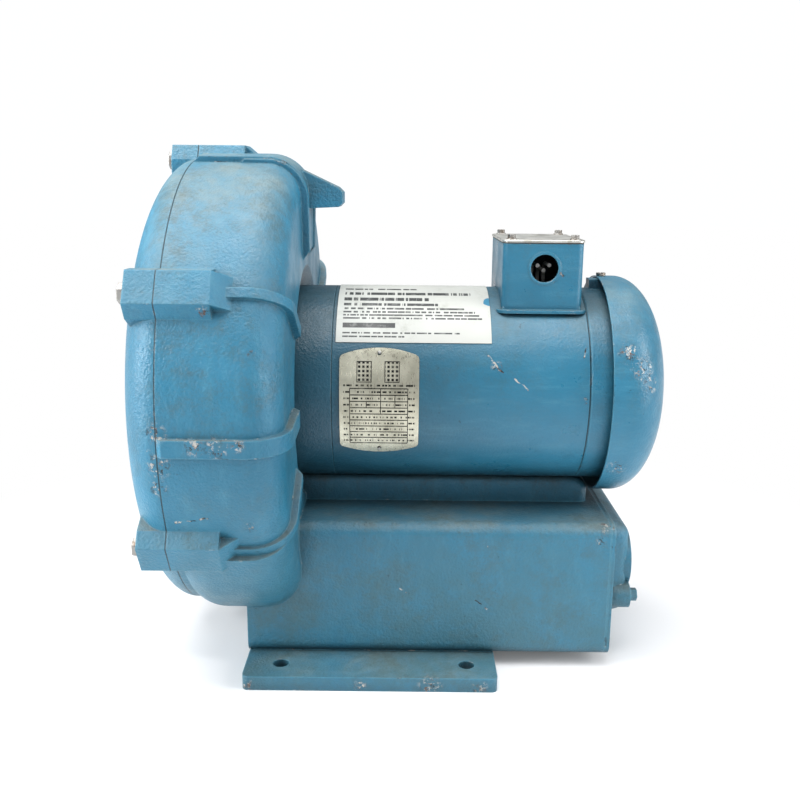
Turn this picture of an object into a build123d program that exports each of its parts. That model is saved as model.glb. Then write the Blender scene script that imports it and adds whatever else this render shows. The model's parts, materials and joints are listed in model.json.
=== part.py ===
"""Side channel blower: a cast casing and cover around a double-sided impeller, on a muffler box
with feet, driven by a totally enclosed fan-cooled motor.

Frame: origin at the centre of the foot bolt pattern on the base plane, +X along the motor axis
from the blower to the fan, +Z up. Millimetres.
"""

import math
import os

from build123d import *

os.makedirs("parts", exist_ok=True)

# ---------------------------------------------------------------- driving dimensions
# Shaft line and feet
AXIS_HEIGHT = 228.0
FOOT_SPACING_X = 152.0
FOOT_SPACING_Y = 210.0
FOOT_HOLE_RADIUS = 6.5
FOOT_LENGTH = 205.0
FOOT_THICKNESS = 12.0
FOOT_EDGE = 22.0  # hole centre to the outer edge

# Blower casing, revolved about the shaft line
SPLIT_X = -147.0
CASING_WIDTH = 85.0
BARREL_RADIUS = 187.0
SHOULDER_RADIUS = 26.0
PAD_RISE = 4.5
PAD_HALF_ANGLE = 10.8
BELLY_RISE = 8.0
BELLY_HALF_ANGLE = 59.0
RIB_RISE = 3.0
RIB_FACE_RISE = 6.0
RIB_WIDTH = 7.5
FLANK_RIB_ANGLE = 93.0
FLANK_RIB_WIDTH = 13.0
MOTOR_POCKET_RADIUS = 88.0
FACE_INNER_RADIUS = 108.0

# Rim lugs and their screws
LUG_COUNT = 6
LUG_BOLT_RADIUS = 185.5
LUG_OUTER_RADIUS = 197.5
LUG_WIDTH = 38.0
LUG_TOP_WIDTH = 25.0
LUG_LENGTH = 38.0
LUG_SLOPE = 15.0
COVER_LUG_LENGTH = 21.5

# Cover
COVER_DEPTH = 36.0
COVER_CROWN_WIDTH = 78.0
COVER_DISH_DEPTH = 12.0
COVER_CHANNEL_DEPTH = 24.0
COVER_DISH_RADIUS = 84.0
COVER_RIB_COUNT = 6
COVER_RIB_WIDTH = 8.0

# Impeller and side channel
IMPELLER_RADIUS = 170.0
IMPELLER_WIDTH = 40.0
IMPELLER_X = -122.0
CHANNEL_INNER_RADIUS = 112.0
CHANNEL_DEPTH = 32.0
RUNNING_GAP = 0.5
TIP_GAP = 2.0
VANE_COUNT = 36
VANE_ANGLE = 2.6
VANE_WEB = 3.0
HUB_RADIUS = 30.0
HUB_LENGTH = 46.0
DISC_THICKNESS = 10.0
STRIPPER_HALF_ANGLE = 12.0

# Muffler box
BOX_START_X = -106.0
BOX_END_X = 193.0
BOX_HALF_WIDTH = 86.0
BOX_BOTTOM = 10.0
BOX_TOP = 126.0
BOX_WALL = 7.0
BOX_EDGE_RADIUS = 11.0
PORT_WINDOW_WIDTH = 44.0
PORT_WINDOW_HEIGHT = 46.0

# Saddle under the motor
SADDLE_HALF_WIDTH = 25.0
SADDLE_END_X = 184.0
SADDLE_GAP = 0.5

# Lifting lug
LIFT_LUG_REACH = 29.5
LIFT_LUG_TIP_Z = 393.0
LIFT_LUG_TIP_HEIGHT = 16.0
LIFT_LUG_WIDTH = 32.0

# Manifold cover and ports
MANIFOLD_PLATE = 3.0
MANIFOLD_BULGE = 18.0
MANIFOLD_GASKET = 1.0
BULGE_LOW = 36.0
BULGE_TOP = 120.0
BULGE_HALF_WIDTH = 64.0
PORT_SPACING = 66.0
PORT_Z = 80.0
PORT_RADIUS = 22.0
PORT_BOSS_RADIUS = 26.5
LONG_BOSS_X = 217.0
LONG_BOSS_Y = 57.0
LONG_BOSS_Z = 54.0
LONG_BOSS_RADIUS = 11.0
MANIFOLD_BOLT_Y = 73.0
MANIFOLD_BOLT_Z = (22.0, 113.0)
FOAM_THICKNESS = 12.0
FOAM_START_X = 0.0
SOFT_GAP = 0.3

# Motor
MOTOR_RADIUS = 82.5
MOTOR_FACE_X = -90.0
BELL_SEAM_X = -35.0
SHELL_END_X = 170.0
FAN_BELL_END_X = 188.0
FAN_BELL_RIM_X = 195.0
SHELL_WALL = 4.0
BELL_WALL = 6.0
REGISTER_RADIUS = 57.15
REGISTER_DEPTH = 4.0
C_FACE_BOLT_CIRCLE = 149.2
STATOR_LENGTH = 100.0
STATOR_CENTRE_X = 62.0
ROTOR_RADIUS = 44.0
AIR_GAP = 0.4
WINDING_LENGTH = 34.0
SHAFT_RADIUS = 12.5
SHAFT_CORE_RADIUS = 15.0
FIT_GAP = 0.03
BEARING_OUTER_RADIUS = 26.0
BEARING_WIDTH = 15.0
DRIVE_BEARING_X = -62.0
FAN_BEARING_X = 166.0
FAN_SHAFT_RADIUS = 8.5
FAN_BEARING_OUTER = 20.0
FAN_BEARING_WIDTH = 12.0
BALL_GAP = 0.15
BELL_FACE_THICKNESS = 12.0
SPIGOT_WALL = 3.0
LEAD_HOLE_RADIUS = 14.0

# Fan and fan cover
FAN_COVER_START_X = 186.0
FAN_COVER_END_X = 239.0
FAN_COVER_RADIUS = 93.0
FAN_COVER_WALL = 1.6
FAN_COVER_CROWN_DEPTH = 38.0
FAN_COVER_CROWN_WIDTH = 66.0
FAN_RADIUS = 72.0
FAN_BLADES = 7
FAN_X = 193.0
FAN_COVER_LUG_ANGLES = (0, 215, 290)
GRILLE_RINGS = 3
GRILLE_SLOT_WIDTH = 7.0

# Screws, key and seal
RIM_BOLT_RADIUS = 4.0
RIM_BOLT_LENGTH = 45.0
MOTOR_BOLT_RADIUS = 4.7
MANIFOLD_BOLT_RADIUS = 3.0
MANIFOLD_BOSS_RADIUS = 8.0
HUB_BOLT_RADIUS = 4.0
LONG_BOLT_RADIUS = 2.6
LONG_BOLT_CIRCLE = 73.0
COVER_SCREW_RADIUS = 2.0
LID_SCREW_RADIUS = 2.0
KEY_WIDTH = 5.0
SEAL_RADIUS = 24.0

# Conduit box
CONDUIT_START_X = 101.0
CONDUIT_END_X = 166.0
CONDUIT_HALF_DEPTH = 49.0
CONDUIT_TOP = 125.5  # above the shaft line
CONDUIT_WALL = 1.8
CONDUIT_FLANGE = 4.5
CONDUIT_FLOOR = 3.0
CONDUIT_FLANGE_Z = 67.0  # underside of the flange, above the shaft line
KNOCKOUT_RADIUS = 11.1
KNOCKOUT_Z = 103.0  # above the shaft line
LID_THICKNESS = 2.0
LID_GASKET = 1.0
LID_SCREW_INSET = 7.0

# Plates on the shell
PLATE_THICKNESS = 0.8
RATING_PLATE_WIDTH = 63.0
RATING_PLATE_HEIGHT = 86.0
RATING_PLATE_DROP = -1.5
RATING_PLATE_X = 3.0
RATING_PLATE_ANGLE = 90.0
LABEL_WIDTH = 124.0
LABEL_X = 30.0
LABEL_START_ANGLE = -18.0
LABEL_SPAN = 75.0
LABEL_THICKNESS = 0.3

# ---------------------------------------------------------------- derived places
CASING_FACE_X = SPLIT_X + CASING_WIDTH
IMPELLER_LEFT = IMPELLER_X - IMPELLER_WIDTH / 2
IMPELLER_RIGHT = IMPELLER_X + IMPELLER_WIDTH / 2
POCKET_RADIUS = IMPELLER_RADIUS + TIP_GAP
CHANNEL_MID = (CHANNEL_INNER_RADIUS + IMPELLER_RADIUS) / 2
CHANNEL_HALF = (IMPELLER_RADIUS - CHANNEL_INNER_RADIUS) / 2
COVER_FACE_X = SPLIT_X - COVER_DEPTH
SHAFT_LINE = Axis((0, 0, AXIS_HEIGHT), (1, 0, 0))
MANIFOLD_X = BOX_END_X + MANIFOLD_GASKET
SHELL_INNER = MOTOR_RADIUS - SHELL_WALL
CONDUIT_MIDDLE_X = (CONDUIT_START_X + CONDUIT_END_X) / 2
FOOT_REACH = FOOT_SPACING_Y / 2 + FOOT_EDGE


# ---------------------------------------------------------------- helpers
def radial_plane(angle=0.0):
    """Sketch plane through the shaft line: local x is X, local y is the radius.

    The angle is from straight up towards -Y, in degrees.
    """
    a = math.radians(angle)
    return Plane(origin=(0, 0, AXIS_HEIGHT), x_dir=(1, 0, 0), z_dir=(0, -math.cos(a), -math.sin(a)))


def cross_plane(x):
    """Plane across the shaft line at x: local x is Y, local y is Z from the shaft line."""
    return Plane(origin=(x, 0, AXIS_HEIGHT), x_dir=(0, 1, 0), z_dir=(1, 0, 0))


def ring(x0, x1, inner, outer, mode=Mode.ADD):
    """Rectangle of a revolved ring, on a radial sketch plane."""
    with Locations(((x0 + x1) / 2, (inner + outer) / 2)):
        Rectangle(abs(x1 - x0), outer - inner, mode=mode)


def fan_cover_screw_plane(angle, radius):
    """Plane facing outward at a fan cover lug, at that radius from the shaft line."""
    a = math.radians(angle)
    out = (0, -math.sin(a), math.cos(a))
    origin = (FAN_COVER_START_X + 4, radius * out[1], AXIS_HEIGHT + radius * out[2])
    return Plane(origin=origin, x_dir=(1, 0, 0), z_dir=out)


def write(part, name):
    part.label = name
    export_step(part, f"parts/{name}.step")


# ---------------------------------------------------------------- housing casting
def lug_sketch():
    """Six lugs around the rim, narrower at their outer face, on the current cross plane."""
    with PolarLocations(0, LUG_COUNT, start_angle=90):
        Polygon(
            (POCKET_RADIUS, -LUG_WIDTH / 2),
            (BARREL_RADIUS - 1, -LUG_WIDTH / 2),
            (LUG_OUTER_RADIUS, -LUG_TOP_WIDTH / 2),
            (LUG_OUTER_RADIUS, LUG_TOP_WIDTH / 2),
            (BARREL_RADIUS - 1, LUG_WIDTH / 2),
            (POCKET_RADIUS, LUG_WIDTH / 2),
            align=None,
        )


def rib_profile(start, rise, face_rise):
    """Outline of a rib that runs along the barrel and over the shoulder to the motor side."""
    corner = SHOULDER_RADIUS + face_rise
    top = BARREL_RADIUS + rise
    face = CASING_FACE_X + face_rise
    with BuildLine() as outline:
        Polyline(
            (face - corner, top),
            (start + rise, top),
            (start, BARREL_RADIUS),
            (start, BARREL_RADIUS - 12),
            (face - corner, BARREL_RADIUS - 20),
            (CASING_FACE_X - 6, FACE_INNER_RADIUS + 2),
            (CASING_FACE_X, FACE_INNER_RADIUS),
            (face, FACE_INNER_RADIUS + 8),
            (face, top - corner),
        )
        RadiusArc((face, top - corner), (face - corner, top), -corner)
    make_face(outline.edges())


def channel_profile(face_x, depth):
    """Half-round side channel in the plane of a radial sketch; negative depth goes to -X."""
    with BuildLine() as outline:
        Polyline((face_x, CHANNEL_INNER_RADIUS), (face_x, IMPELLER_RADIUS))
        EllipticalCenterArc(
            (face_x, CHANNEL_MID),
            abs(depth),
            CHANNEL_HALF,
            start_angle=90 if depth < 0 else -90,
            arc_size=180,
        )
    make_face(outline.edges())


with BuildPart() as housing:
    # Barrel with its rounded motor-side shoulder and the tapered mouth around the motor
    with BuildSketch(radial_plane()):
        with BuildLine():
            Polyline(
                (CASING_FACE_X - SHOULDER_RADIUS, BARREL_RADIUS),
                (SPLIT_X, BARREL_RADIUS),
                (SPLIT_X, 0),
                (MOTOR_FACE_X, 0),
                (MOTOR_FACE_X, MOTOR_POCKET_RADIUS),
                (CASING_FACE_X - 10, MOTOR_POCKET_RADIUS),
                (CASING_FACE_X, FACE_INNER_RADIUS - 8),
                (CASING_FACE_X, BARREL_RADIUS - SHOULDER_RADIUS),
            )
            RadiusArc(
                (CASING_FACE_X, BARREL_RADIUS - SHOULDER_RADIUS),
                (CASING_FACE_X - SHOULDER_RADIUS, BARREL_RADIUS),
                -SHOULDER_RADIUS,
            )
        make_face()
    revolve(axis=SHAFT_LINE)

    # Belly: the casing swells below the two lower lugs, from the split line to the shoulder
    with BuildSketch(radial_plane(180 - BELLY_HALF_ANGLE)):
        belly = BARREL_RADIUS + BELLY_RISE
        belly_corner = SHOULDER_RADIUS + 4
        with BuildLine():
            Polyline(
                (SPLIT_X + 26, belly),
                (CASING_FACE_X + 2 - belly_corner, belly),
            )
            RadiusArc(
                (CASING_FACE_X + 2, belly - belly_corner),
                (CASING_FACE_X + 2 - belly_corner, belly),
                -belly_corner,
            )
            Polyline(
                (CASING_FACE_X + 2, belly - belly_corner),
                (CASING_FACE_X - 2, FACE_INNER_RADIUS + 24),
                (CASING_FACE_X - 40, BARREL_RADIUS - 12),
                (SPLIT_X, BARREL_RADIUS - 12),
            )
            EllipticalCenterArc(
                (SPLIT_X + 26, BARREL_RADIUS - 12),
                26,
                BELLY_RISE + 12,
                start_angle=90,
                arc_size=90,
            )
        make_face()
    revolve(axis=SHAFT_LINE, revolution_arc=2 * BELLY_HALF_ANGLE)

    # Rim lugs, sloped away behind the screws
    with BuildSketch(cross_plane(SPLIT_X)):
        lug_sketch()
    extrude(amount=LUG_LENGTH)
    for number in range(LUG_COUNT):
        with BuildSketch(radial_plane(number * 360 / LUG_COUNT)):
            Polygon(
                (SPLIT_X + LUG_LENGTH, LUG_OUTER_RADIUS),
                (SPLIT_X + LUG_LENGTH, BARREL_RADIUS - 12),
                (SPLIT_X + LUG_LENGTH + LUG_SLOPE, BARREL_RADIUS - 12),
                (SPLIT_X + LUG_LENGTH + LUG_SLOPE, BARREL_RADIUS - 2),
                align=None,
            )
        extrude(amount=LUG_TOP_WIDTH / 2, both=True)

    # Wide pad on top, narrow ribs behind the lugs and a broader one on each flank
    with BuildSketch(radial_plane(-PAD_HALF_ANGLE)):
        rib_profile(SPLIT_X, PAD_RISE, PAD_RISE)
    revolve(axis=SHAFT_LINE, revolution_arc=2 * PAD_HALF_ANGLE)
    for angle in (PAD_HALF_ANGLE, 60, 120, 240, 300, -PAD_HALF_ANGLE):
        with BuildSketch(radial_plane(angle)):
            rib_profile(SPLIT_X + LUG_LENGTH, RIB_RISE, RIB_FACE_RISE)
        extrude(amount=RIB_WIDTH / 2, both=True)
    for angle in (FLANK_RIB_ANGLE, -FLANK_RIB_ANGLE):
        with BuildSketch(radial_plane(angle)):
            rib_profile(SPLIT_X, RIB_RISE + 1, RIB_FACE_RISE)
        extrude(amount=FLANK_RIB_WIDTH / 2, both=True)

    # Lifting lug reaching over the motor
    with BuildSketch(radial_plane()):
        tip = LIFT_LUG_TIP_Z - AXIS_HEIGHT
        Polygon(
            (CASING_FACE_X - 24, BARREL_RADIUS - 3),
            (CASING_FACE_X - 8, BARREL_RADIUS - 5),
            (-LIFT_LUG_REACH - 4, tip),
            (-LIFT_LUG_REACH, tip - 4),
            (-LIFT_LUG_REACH, tip - LIFT_LUG_TIP_HEIGHT + 3),
            (-LIFT_LUG_REACH - 3, tip - LIFT_LUG_TIP_HEIGHT),
            (CASING_FACE_X - 6, BARREL_RADIUS - 40),
            (CASING_FACE_X - 24, BARREL_RADIUS - 40),
            align=None,
        )
    extrude(amount=LIFT_LUG_WIDTH / 2, both=True)

    # Muffler box
    with BuildSketch(Plane.YZ.offset(BOX_START_X)):
        with Locations((0, (BOX_TOP + BOX_BOTTOM) / 2)):
            RectangleRounded(2 * BOX_HALF_WIDTH, BOX_TOP - BOX_BOTTOM, BOX_EDGE_RADIUS)
    extrude(amount=BOX_END_X - BOX_START_X)

    # Foot flanges and the skirt that carries them
    with BuildSketch(Plane.XY):
        for side in (-1, 1):
            with Locations((-2.5, side * (BOX_HALF_WIDTH - 8 + FOOT_REACH) / 2)):
                RectangleRounded(FOOT_LENGTH, FOOT_REACH - BOX_HALF_WIDTH + 8, 5)
    extrude(amount=FOOT_THICKNESS)
    with BuildSketch(Plane.XY):
        with GridLocations(FOOT_SPACING_X, FOOT_SPACING_Y, 2, 2):
            Circle(FOOT_HOLE_RADIUS)
    extrude(amount=FOOT_THICKNESS, mode=Mode.SUBTRACT)

    # Saddle under the motor, rounded down at its free end
    with BuildSketch(Plane.XZ.offset(-SADDLE_HALF_WIDTH)):
        with BuildLine():
            saddle_top = AXIS_HEIGHT - MOTOR_RADIUS + 3
            Polyline(
                (SADDLE_END_X - 16, saddle_top),
                (CASING_FACE_X - 6, saddle_top),
                (CASING_FACE_X - 6, BOX_TOP - 2),
                (SADDLE_END_X, BOX_TOP - 2),
                (SADDLE_END_X, saddle_top - 12),
            )
            EllipticalCenterArc((SADDLE_END_X - 16, saddle_top - 12), 16, 12, start_angle=0, arc_size=90)
        make_face()
    extrude(amount=2 * SADDLE_HALF_WIDTH)
    saddle_corners = housing.edges().filter_by(Axis.Z).filter_by_position(Axis.X, SADDLE_END_X - 1, SADDLE_END_X + 1)
    fillet(saddle_corners, 7)
    with BuildSketch(cross_plane(MOTOR_FACE_X)):
        Circle(MOTOR_RADIUS + SADDLE_GAP)
    extrude(amount=SADDLE_END_X - MOTOR_FACE_X, mode=Mode.SUBTRACT)

    # Impeller pocket with the side channel, broken by the stripper at the bottom
    with BuildSketch(cross_plane(SPLIT_X)):
        Circle(POCKET_RADIUS)
    extrude(amount=IMPELLER_RIGHT + RUNNING_GAP - SPLIT_X, mode=Mode.SUBTRACT)
    with BuildSketch(radial_plane(180 + STRIPPER_HALF_ANGLE)):
        channel_profile(IMPELLER_RIGHT + RUNNING_GAP, CHANNEL_DEPTH)
    revolve(axis=SHAFT_LINE, revolution_arc=360 - 2 * STRIPPER_HALF_ANGLE, mode=Mode.SUBTRACT)

    # Two muffler chambers, and the windows that join them to the channel
    for side in (-1, 1):
        chamber_width = BOX_HALF_WIDTH - BOX_WALL * 1.5
        with BuildSketch(Plane.YZ.offset(CASING_FACE_X)):
            with Locations((side * (BOX_WALL / 2 + chamber_width / 2), (BOX_TOP + BOX_BOTTOM) / 2)):
                RectangleRounded(chamber_width, BOX_TOP - BOX_BOTTOM - 2 * BOX_WALL, 6)
        extrude(amount=BOX_END_X - CASING_FACE_X, mode=Mode.SUBTRACT)
        with BuildSketch(cross_plane(IMPELLER_RIGHT + 8)):
            with Locations((side * 55, -CHANNEL_MID * 0.9)):
                RectangleRounded(PORT_WINDOW_WIDTH, PORT_WINDOW_HEIGHT, 8)
        extrude(amount=CASING_FACE_X - IMPELLER_RIGHT, mode=Mode.SUBTRACT)

    # Seal bore, motor register and the motor screws
    with BuildSketch(cross_plane(MOTOR_FACE_X)):
        Circle(REGISTER_RADIUS + SOFT_GAP)
    extrude(amount=-REGISTER_DEPTH - SOFT_GAP, mode=Mode.SUBTRACT)
    with BuildSketch(cross_plane(MOTOR_FACE_X)):
        Circle(SEAL_RADIUS + SOFT_GAP)
        with PolarLocations(C_FACE_BOLT_CIRCLE / 2, 4, start_angle=45):
            Circle(MOTOR_BOLT_RADIUS + SOFT_GAP)
    extrude(amount=IMPELLER_RIGHT - MOTOR_FACE_X, mode=Mode.SUBTRACT)
    with BuildSketch(cross_plane(IMPELLER_RIGHT + RUNNING_GAP)):
        with PolarLocations(C_FACE_BOLT_CIRCLE / 2, 4, start_angle=45):
            Circle(MOTOR_BOLT_RADIUS * 2 + 1)
    extrude(amount=MOTOR_BOLT_RADIUS * 2, mode=Mode.SUBTRACT)

    # Tapped holes for the rim screws and the manifold screws
    with BuildSketch(cross_plane(SPLIT_X)):
        with PolarLocations(LUG_BOLT_RADIUS, LUG_COUNT, start_angle=90):
            Circle(RIM_BOLT_RADIUS + SOFT_GAP)
    extrude(amount=RIM_BOLT_LENGTH - COVER_LUG_LENGTH + 2, mode=Mode.SUBTRACT)
    with BuildSketch(Plane.YZ.offset(BOX_END_X)):
        for height in MANIFOLD_BOLT_Z:
            with Locations((-MANIFOLD_BOLT_Y, height), (MANIFOLD_BOLT_Y, height)):
                Circle(MANIFOLD_BOSS_RADIUS)
    extrude(amount=-30)
    with BuildSketch(Plane.YZ.offset(BOX_END_X)):
        for side in (-1, 1):
            with Locations((side * (LONG_BOSS_Y - 9 + BOX_HALF_WIDTH - 2) / 2, LONG_BOSS_Z)):
                Rectangle(BOX_HALF_WIDTH - 2 - LONG_BOSS_Y + 9, 18)
    extrude(amount=-26)
    with BuildSketch(Plane.YZ.offset(BOX_END_X)):
        for height in MANIFOLD_BOLT_Z:
            with Locations((-MANIFOLD_BOLT_Y, height), (MANIFOLD_BOLT_Y, height)):
                Circle(MANIFOLD_BOLT_RADIUS + SOFT_GAP)
        with Locations((-LONG_BOSS_Y, LONG_BOSS_Z), (LONG_BOSS_Y, LONG_BOSS_Z)):
            Circle(MANIFOLD_BOLT_RADIUS + SOFT_GAP)
    extrude(amount=-22, mode=Mode.SUBTRACT)
write(housing.part, "housing")


# ---------------------------------------------------------------- cover casting
with BuildPart() as cover:
    # Domed cover with a dished centre
    with BuildSketch(radial_plane()):
        crown = BARREL_RADIUS - COVER_CROWN_WIDTH
        with BuildLine():
            Polyline(
                (SPLIT_X, BARREL_RADIUS),
                (SPLIT_X, 0),
                (COVER_FACE_X + COVER_DISH_DEPTH, 0),
                (COVER_FACE_X + COVER_DISH_DEPTH, COVER_DISH_RADIUS),
                (COVER_FACE_X, COVER_DISH_RADIUS + 8),
                (COVER_FACE_X, crown),
            )
            EllipticalCenterArc((SPLIT_X, crown), COVER_DEPTH, COVER_CROWN_WIDTH, start_angle=90, arc_size=90)
        make_face()
    revolve(axis=SHAFT_LINE)
    with BuildSketch(cross_plane(SPLIT_X)):
        lug_sketch()
    extrude(amount=-COVER_LUG_LENGTH)

    # Ribs and centre boss in the dish
    with BuildSketch(cross_plane(COVER_FACE_X + COVER_DISH_DEPTH)):
        with PolarLocations(COVER_DISH_RADIUS / 2 + 4, COVER_RIB_COUNT, start_angle=90):
            Rectangle(COVER_DISH_RADIUS, COVER_RIB_WIDTH)
        Circle(24)
    extrude(amount=-COVER_DISH_DEPTH + 2)

    # Hub recess and side channel, broken by the stripper
    with BuildSketch(cross_plane(SPLIT_X)):
        Circle(CHANNEL_INNER_RADIUS - 12)
    extrude(amount=COVER_DISH_DEPTH + 8 - COVER_DEPTH, mode=Mode.SUBTRACT)
    with BuildSketch(radial_plane(180 + STRIPPER_HALF_ANGLE)):
        channel_profile(SPLIT_X, -COVER_CHANNEL_DEPTH)
    revolve(axis=SHAFT_LINE, revolution_arc=360 - 2 * STRIPPER_HALF_ANGLE, mode=Mode.SUBTRACT)

    with BuildSketch(cross_plane(SPLIT_X)):
        with PolarLocations(LUG_BOLT_RADIUS, LUG_COUNT, start_angle=90):
            Circle(RIM_BOLT_RADIUS + SOFT_GAP)
    extrude(amount=-COVER_LUG_LENGTH, mode=Mode.SUBTRACT)
write(cover.part, "cover")


# ---------------------------------------------------------------- impeller
with BuildPart() as impeller:
    # Hub, disc and rim
    with BuildSketch(radial_plane()):
        ring(IMPELLER_LEFT + 6, IMPELLER_RIGHT - 2, SHAFT_RADIUS + FIT_GAP, HUB_RADIUS)
        ring(IMPELLER_X - DISC_THICKNESS / 2, IMPELLER_X + DISC_THICKNESS / 2, HUB_RADIUS - 2, IMPELLER_RADIUS)
        ring(IMPELLER_LEFT, IMPELLER_RIGHT, CHANNEL_INNER_RADIUS - 8, IMPELLER_RADIUS)
    revolve(axis=SHAFT_LINE)

    # Vane pockets: every wedge between two vanes is cut from both faces
    pitch = 360 / VANE_COUNT
    wedge = pitch - VANE_ANGLE
    pocket_depth = (IMPELLER_WIDTH - VANE_WEB) / 2
    for face, inward in ((IMPELLER_LEFT, 1), (IMPELLER_RIGHT, -1)):
        for number in range(VANE_COUNT):
            with BuildSketch(radial_plane(number * pitch)):
                Polygon(
                    (face, CHANNEL_INNER_RADIUS + 2),
                    (face + inward * pocket_depth * 0.75, CHANNEL_INNER_RADIUS + 9),
                    (face + inward * pocket_depth, CHANNEL_MID - 6),
                    (face + inward * pocket_depth, CHANNEL_MID + 8),
                    (face + inward * pocket_depth * 0.6, IMPELLER_RADIUS - 4),
                    (face + inward * pocket_depth * 0.3, IMPELLER_RADIUS - 2),
                    (face, IMPELLER_RADIUS - 2),
                    align=None,
                )
            revolve(axis=SHAFT_LINE, revolution_arc=wedge, mode=Mode.SUBTRACT)

    # Keyway, and balance holes in the disc
    with BuildSketch(cross_plane(IMPELLER_RIGHT)):
        with Locations((0, SHAFT_RADIUS)):
            Rectangle(KEY_WIDTH + 0.1, KEY_WIDTH + 0.6)
    extrude(amount=-IMPELLER_WIDTH, mode=Mode.SUBTRACT)
    with BuildSketch(cross_plane(IMPELLER_X - DISC_THICKNESS)):
        with PolarLocations((HUB_RADIUS + CHANNEL_INNER_RADIUS) / 2, 6):
            Circle(9)
    extrude(amount=DISC_THICKNESS * 2, mode=Mode.SUBTRACT)
write(impeller.part, "impeller")

# Spacer between the bearing shoulder and the hub, washer and screw on the shaft end
with BuildPart() as impeller_spacer:
    with BuildSketch(cross_plane(IMPELLER_RIGHT - 2)):
        Circle(SHAFT_RADIUS + 3)
        Circle(SHAFT_RADIUS + FIT_GAP, mode=Mode.SUBTRACT)
    extrude(amount=DRIVE_BEARING_X - BEARING_WIDTH / 2 - IMPELLER_RIGHT + 2)
write(impeller_spacer.part, "impeller_spacer")

with BuildPart() as impeller_key:
    with BuildSketch(cross_plane(IMPELLER_LEFT + 8)):
        with Locations((0, SHAFT_RADIUS - 0.1)):
            Rectangle(KEY_WIDTH, KEY_WIDTH)
    extrude(amount=HUB_LENGTH - 18)
write(impeller_key.part, "impeller_key")

with BuildPart() as impeller_washer:
    with BuildSketch(cross_plane(IMPELLER_LEFT + 6)):
        Circle(SHAFT_RADIUS + 7)
        Circle(HUB_BOLT_RADIUS + SOFT_GAP, mode=Mode.SUBTRACT)
    extrude(amount=-3)
write(impeller_washer.part, "impeller_washer")

with BuildPart() as impeller_bolt:
    with BuildSketch(cross_plane(IMPELLER_LEFT + 3)):
        RegularPolygon(7.5, 6)
    extrude(amount=-5.5)
    with BuildSketch(cross_plane(IMPELLER_LEFT + 3)):
        Circle(HUB_BOLT_RADIUS)
    extrude(amount=24)
    chamfer(impeller_bolt.edges().filter_by(GeomType.LINE).group_by(Axis.X)[0], 0.6)
write(impeller_bolt.part, "impeller_bolt")


# ---------------------------------------------------------------- shaft and rotor
with BuildPart() as shaft:
    drive_seat = DRIVE_BEARING_X + BEARING_WIDTH / 2
    fan_seat = FAN_BEARING_X - FAN_BEARING_WIDTH / 2
    with BuildSketch(radial_plane()):
        ring(IMPELLER_LEFT + 7, drive_seat, 0, SHAFT_RADIUS)
        ring(drive_seat, fan_seat, 0, SHAFT_CORE_RADIUS)
        ring(fan_seat, FAN_X + 22, 0, FAN_SHAFT_RADIUS)
        # Groove for the fan's clip
        ring(FAN_X + 17.9, FAN_X + 19.3, FAN_SHAFT_RADIUS - 1, FAN_SHAFT_RADIUS + 1, Mode.SUBTRACT)
    revolve(axis=SHAFT_LINE)
    with BuildSketch(cross_plane(IMPELLER_LEFT + 7)):
        Circle(HUB_BOLT_RADIUS + 0.1)
    extrude(amount=24, mode=Mode.SUBTRACT)
    with BuildSketch(cross_plane(IMPELLER_LEFT + 7.5)):
        with Locations((0, SHAFT_RADIUS - 0.1)):
            Rectangle(KEY_WIDTH + 0.1, KEY_WIDTH + 0.1)
    extrude(amount=HUB_LENGTH - 16.5, mode=Mode.SUBTRACT)
    chamfer(shaft.edges().filter_by(GeomType.CIRCLE).group_by(Axis.X)[-1], 0.8)
write(shaft.part, "shaft")

with BuildPart() as rotor_core:
    with BuildSketch(radial_plane()):
        ring(
            STATOR_CENTRE_X - STATOR_LENGTH / 2,
            STATOR_CENTRE_X + STATOR_LENGTH / 2,
            SHAFT_CORE_RADIUS + FIT_GAP,
            ROTOR_RADIUS,
        )
        for end in (-1, 1):
            edge = STATOR_CENTRE_X + end * STATOR_LENGTH / 2
            ring(edge, edge + end * 9, ROTOR_RADIUS - 14, ROTOR_RADIUS - 1)
    revolve(axis=SHAFT_LINE)
    # Balance pins and fins cast on both end rings
    for end in (-1, 1):
        edge = STATOR_CENTRE_X + end * (STATOR_LENGTH / 2 + 9)
        with BuildSketch(cross_plane(edge)):
            with PolarLocations(ROTOR_RADIUS - 8, 8):
                Rectangle(11, 3)
        extrude(amount=end * 10)
write(rotor_core.part, "rotor_core")


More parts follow.
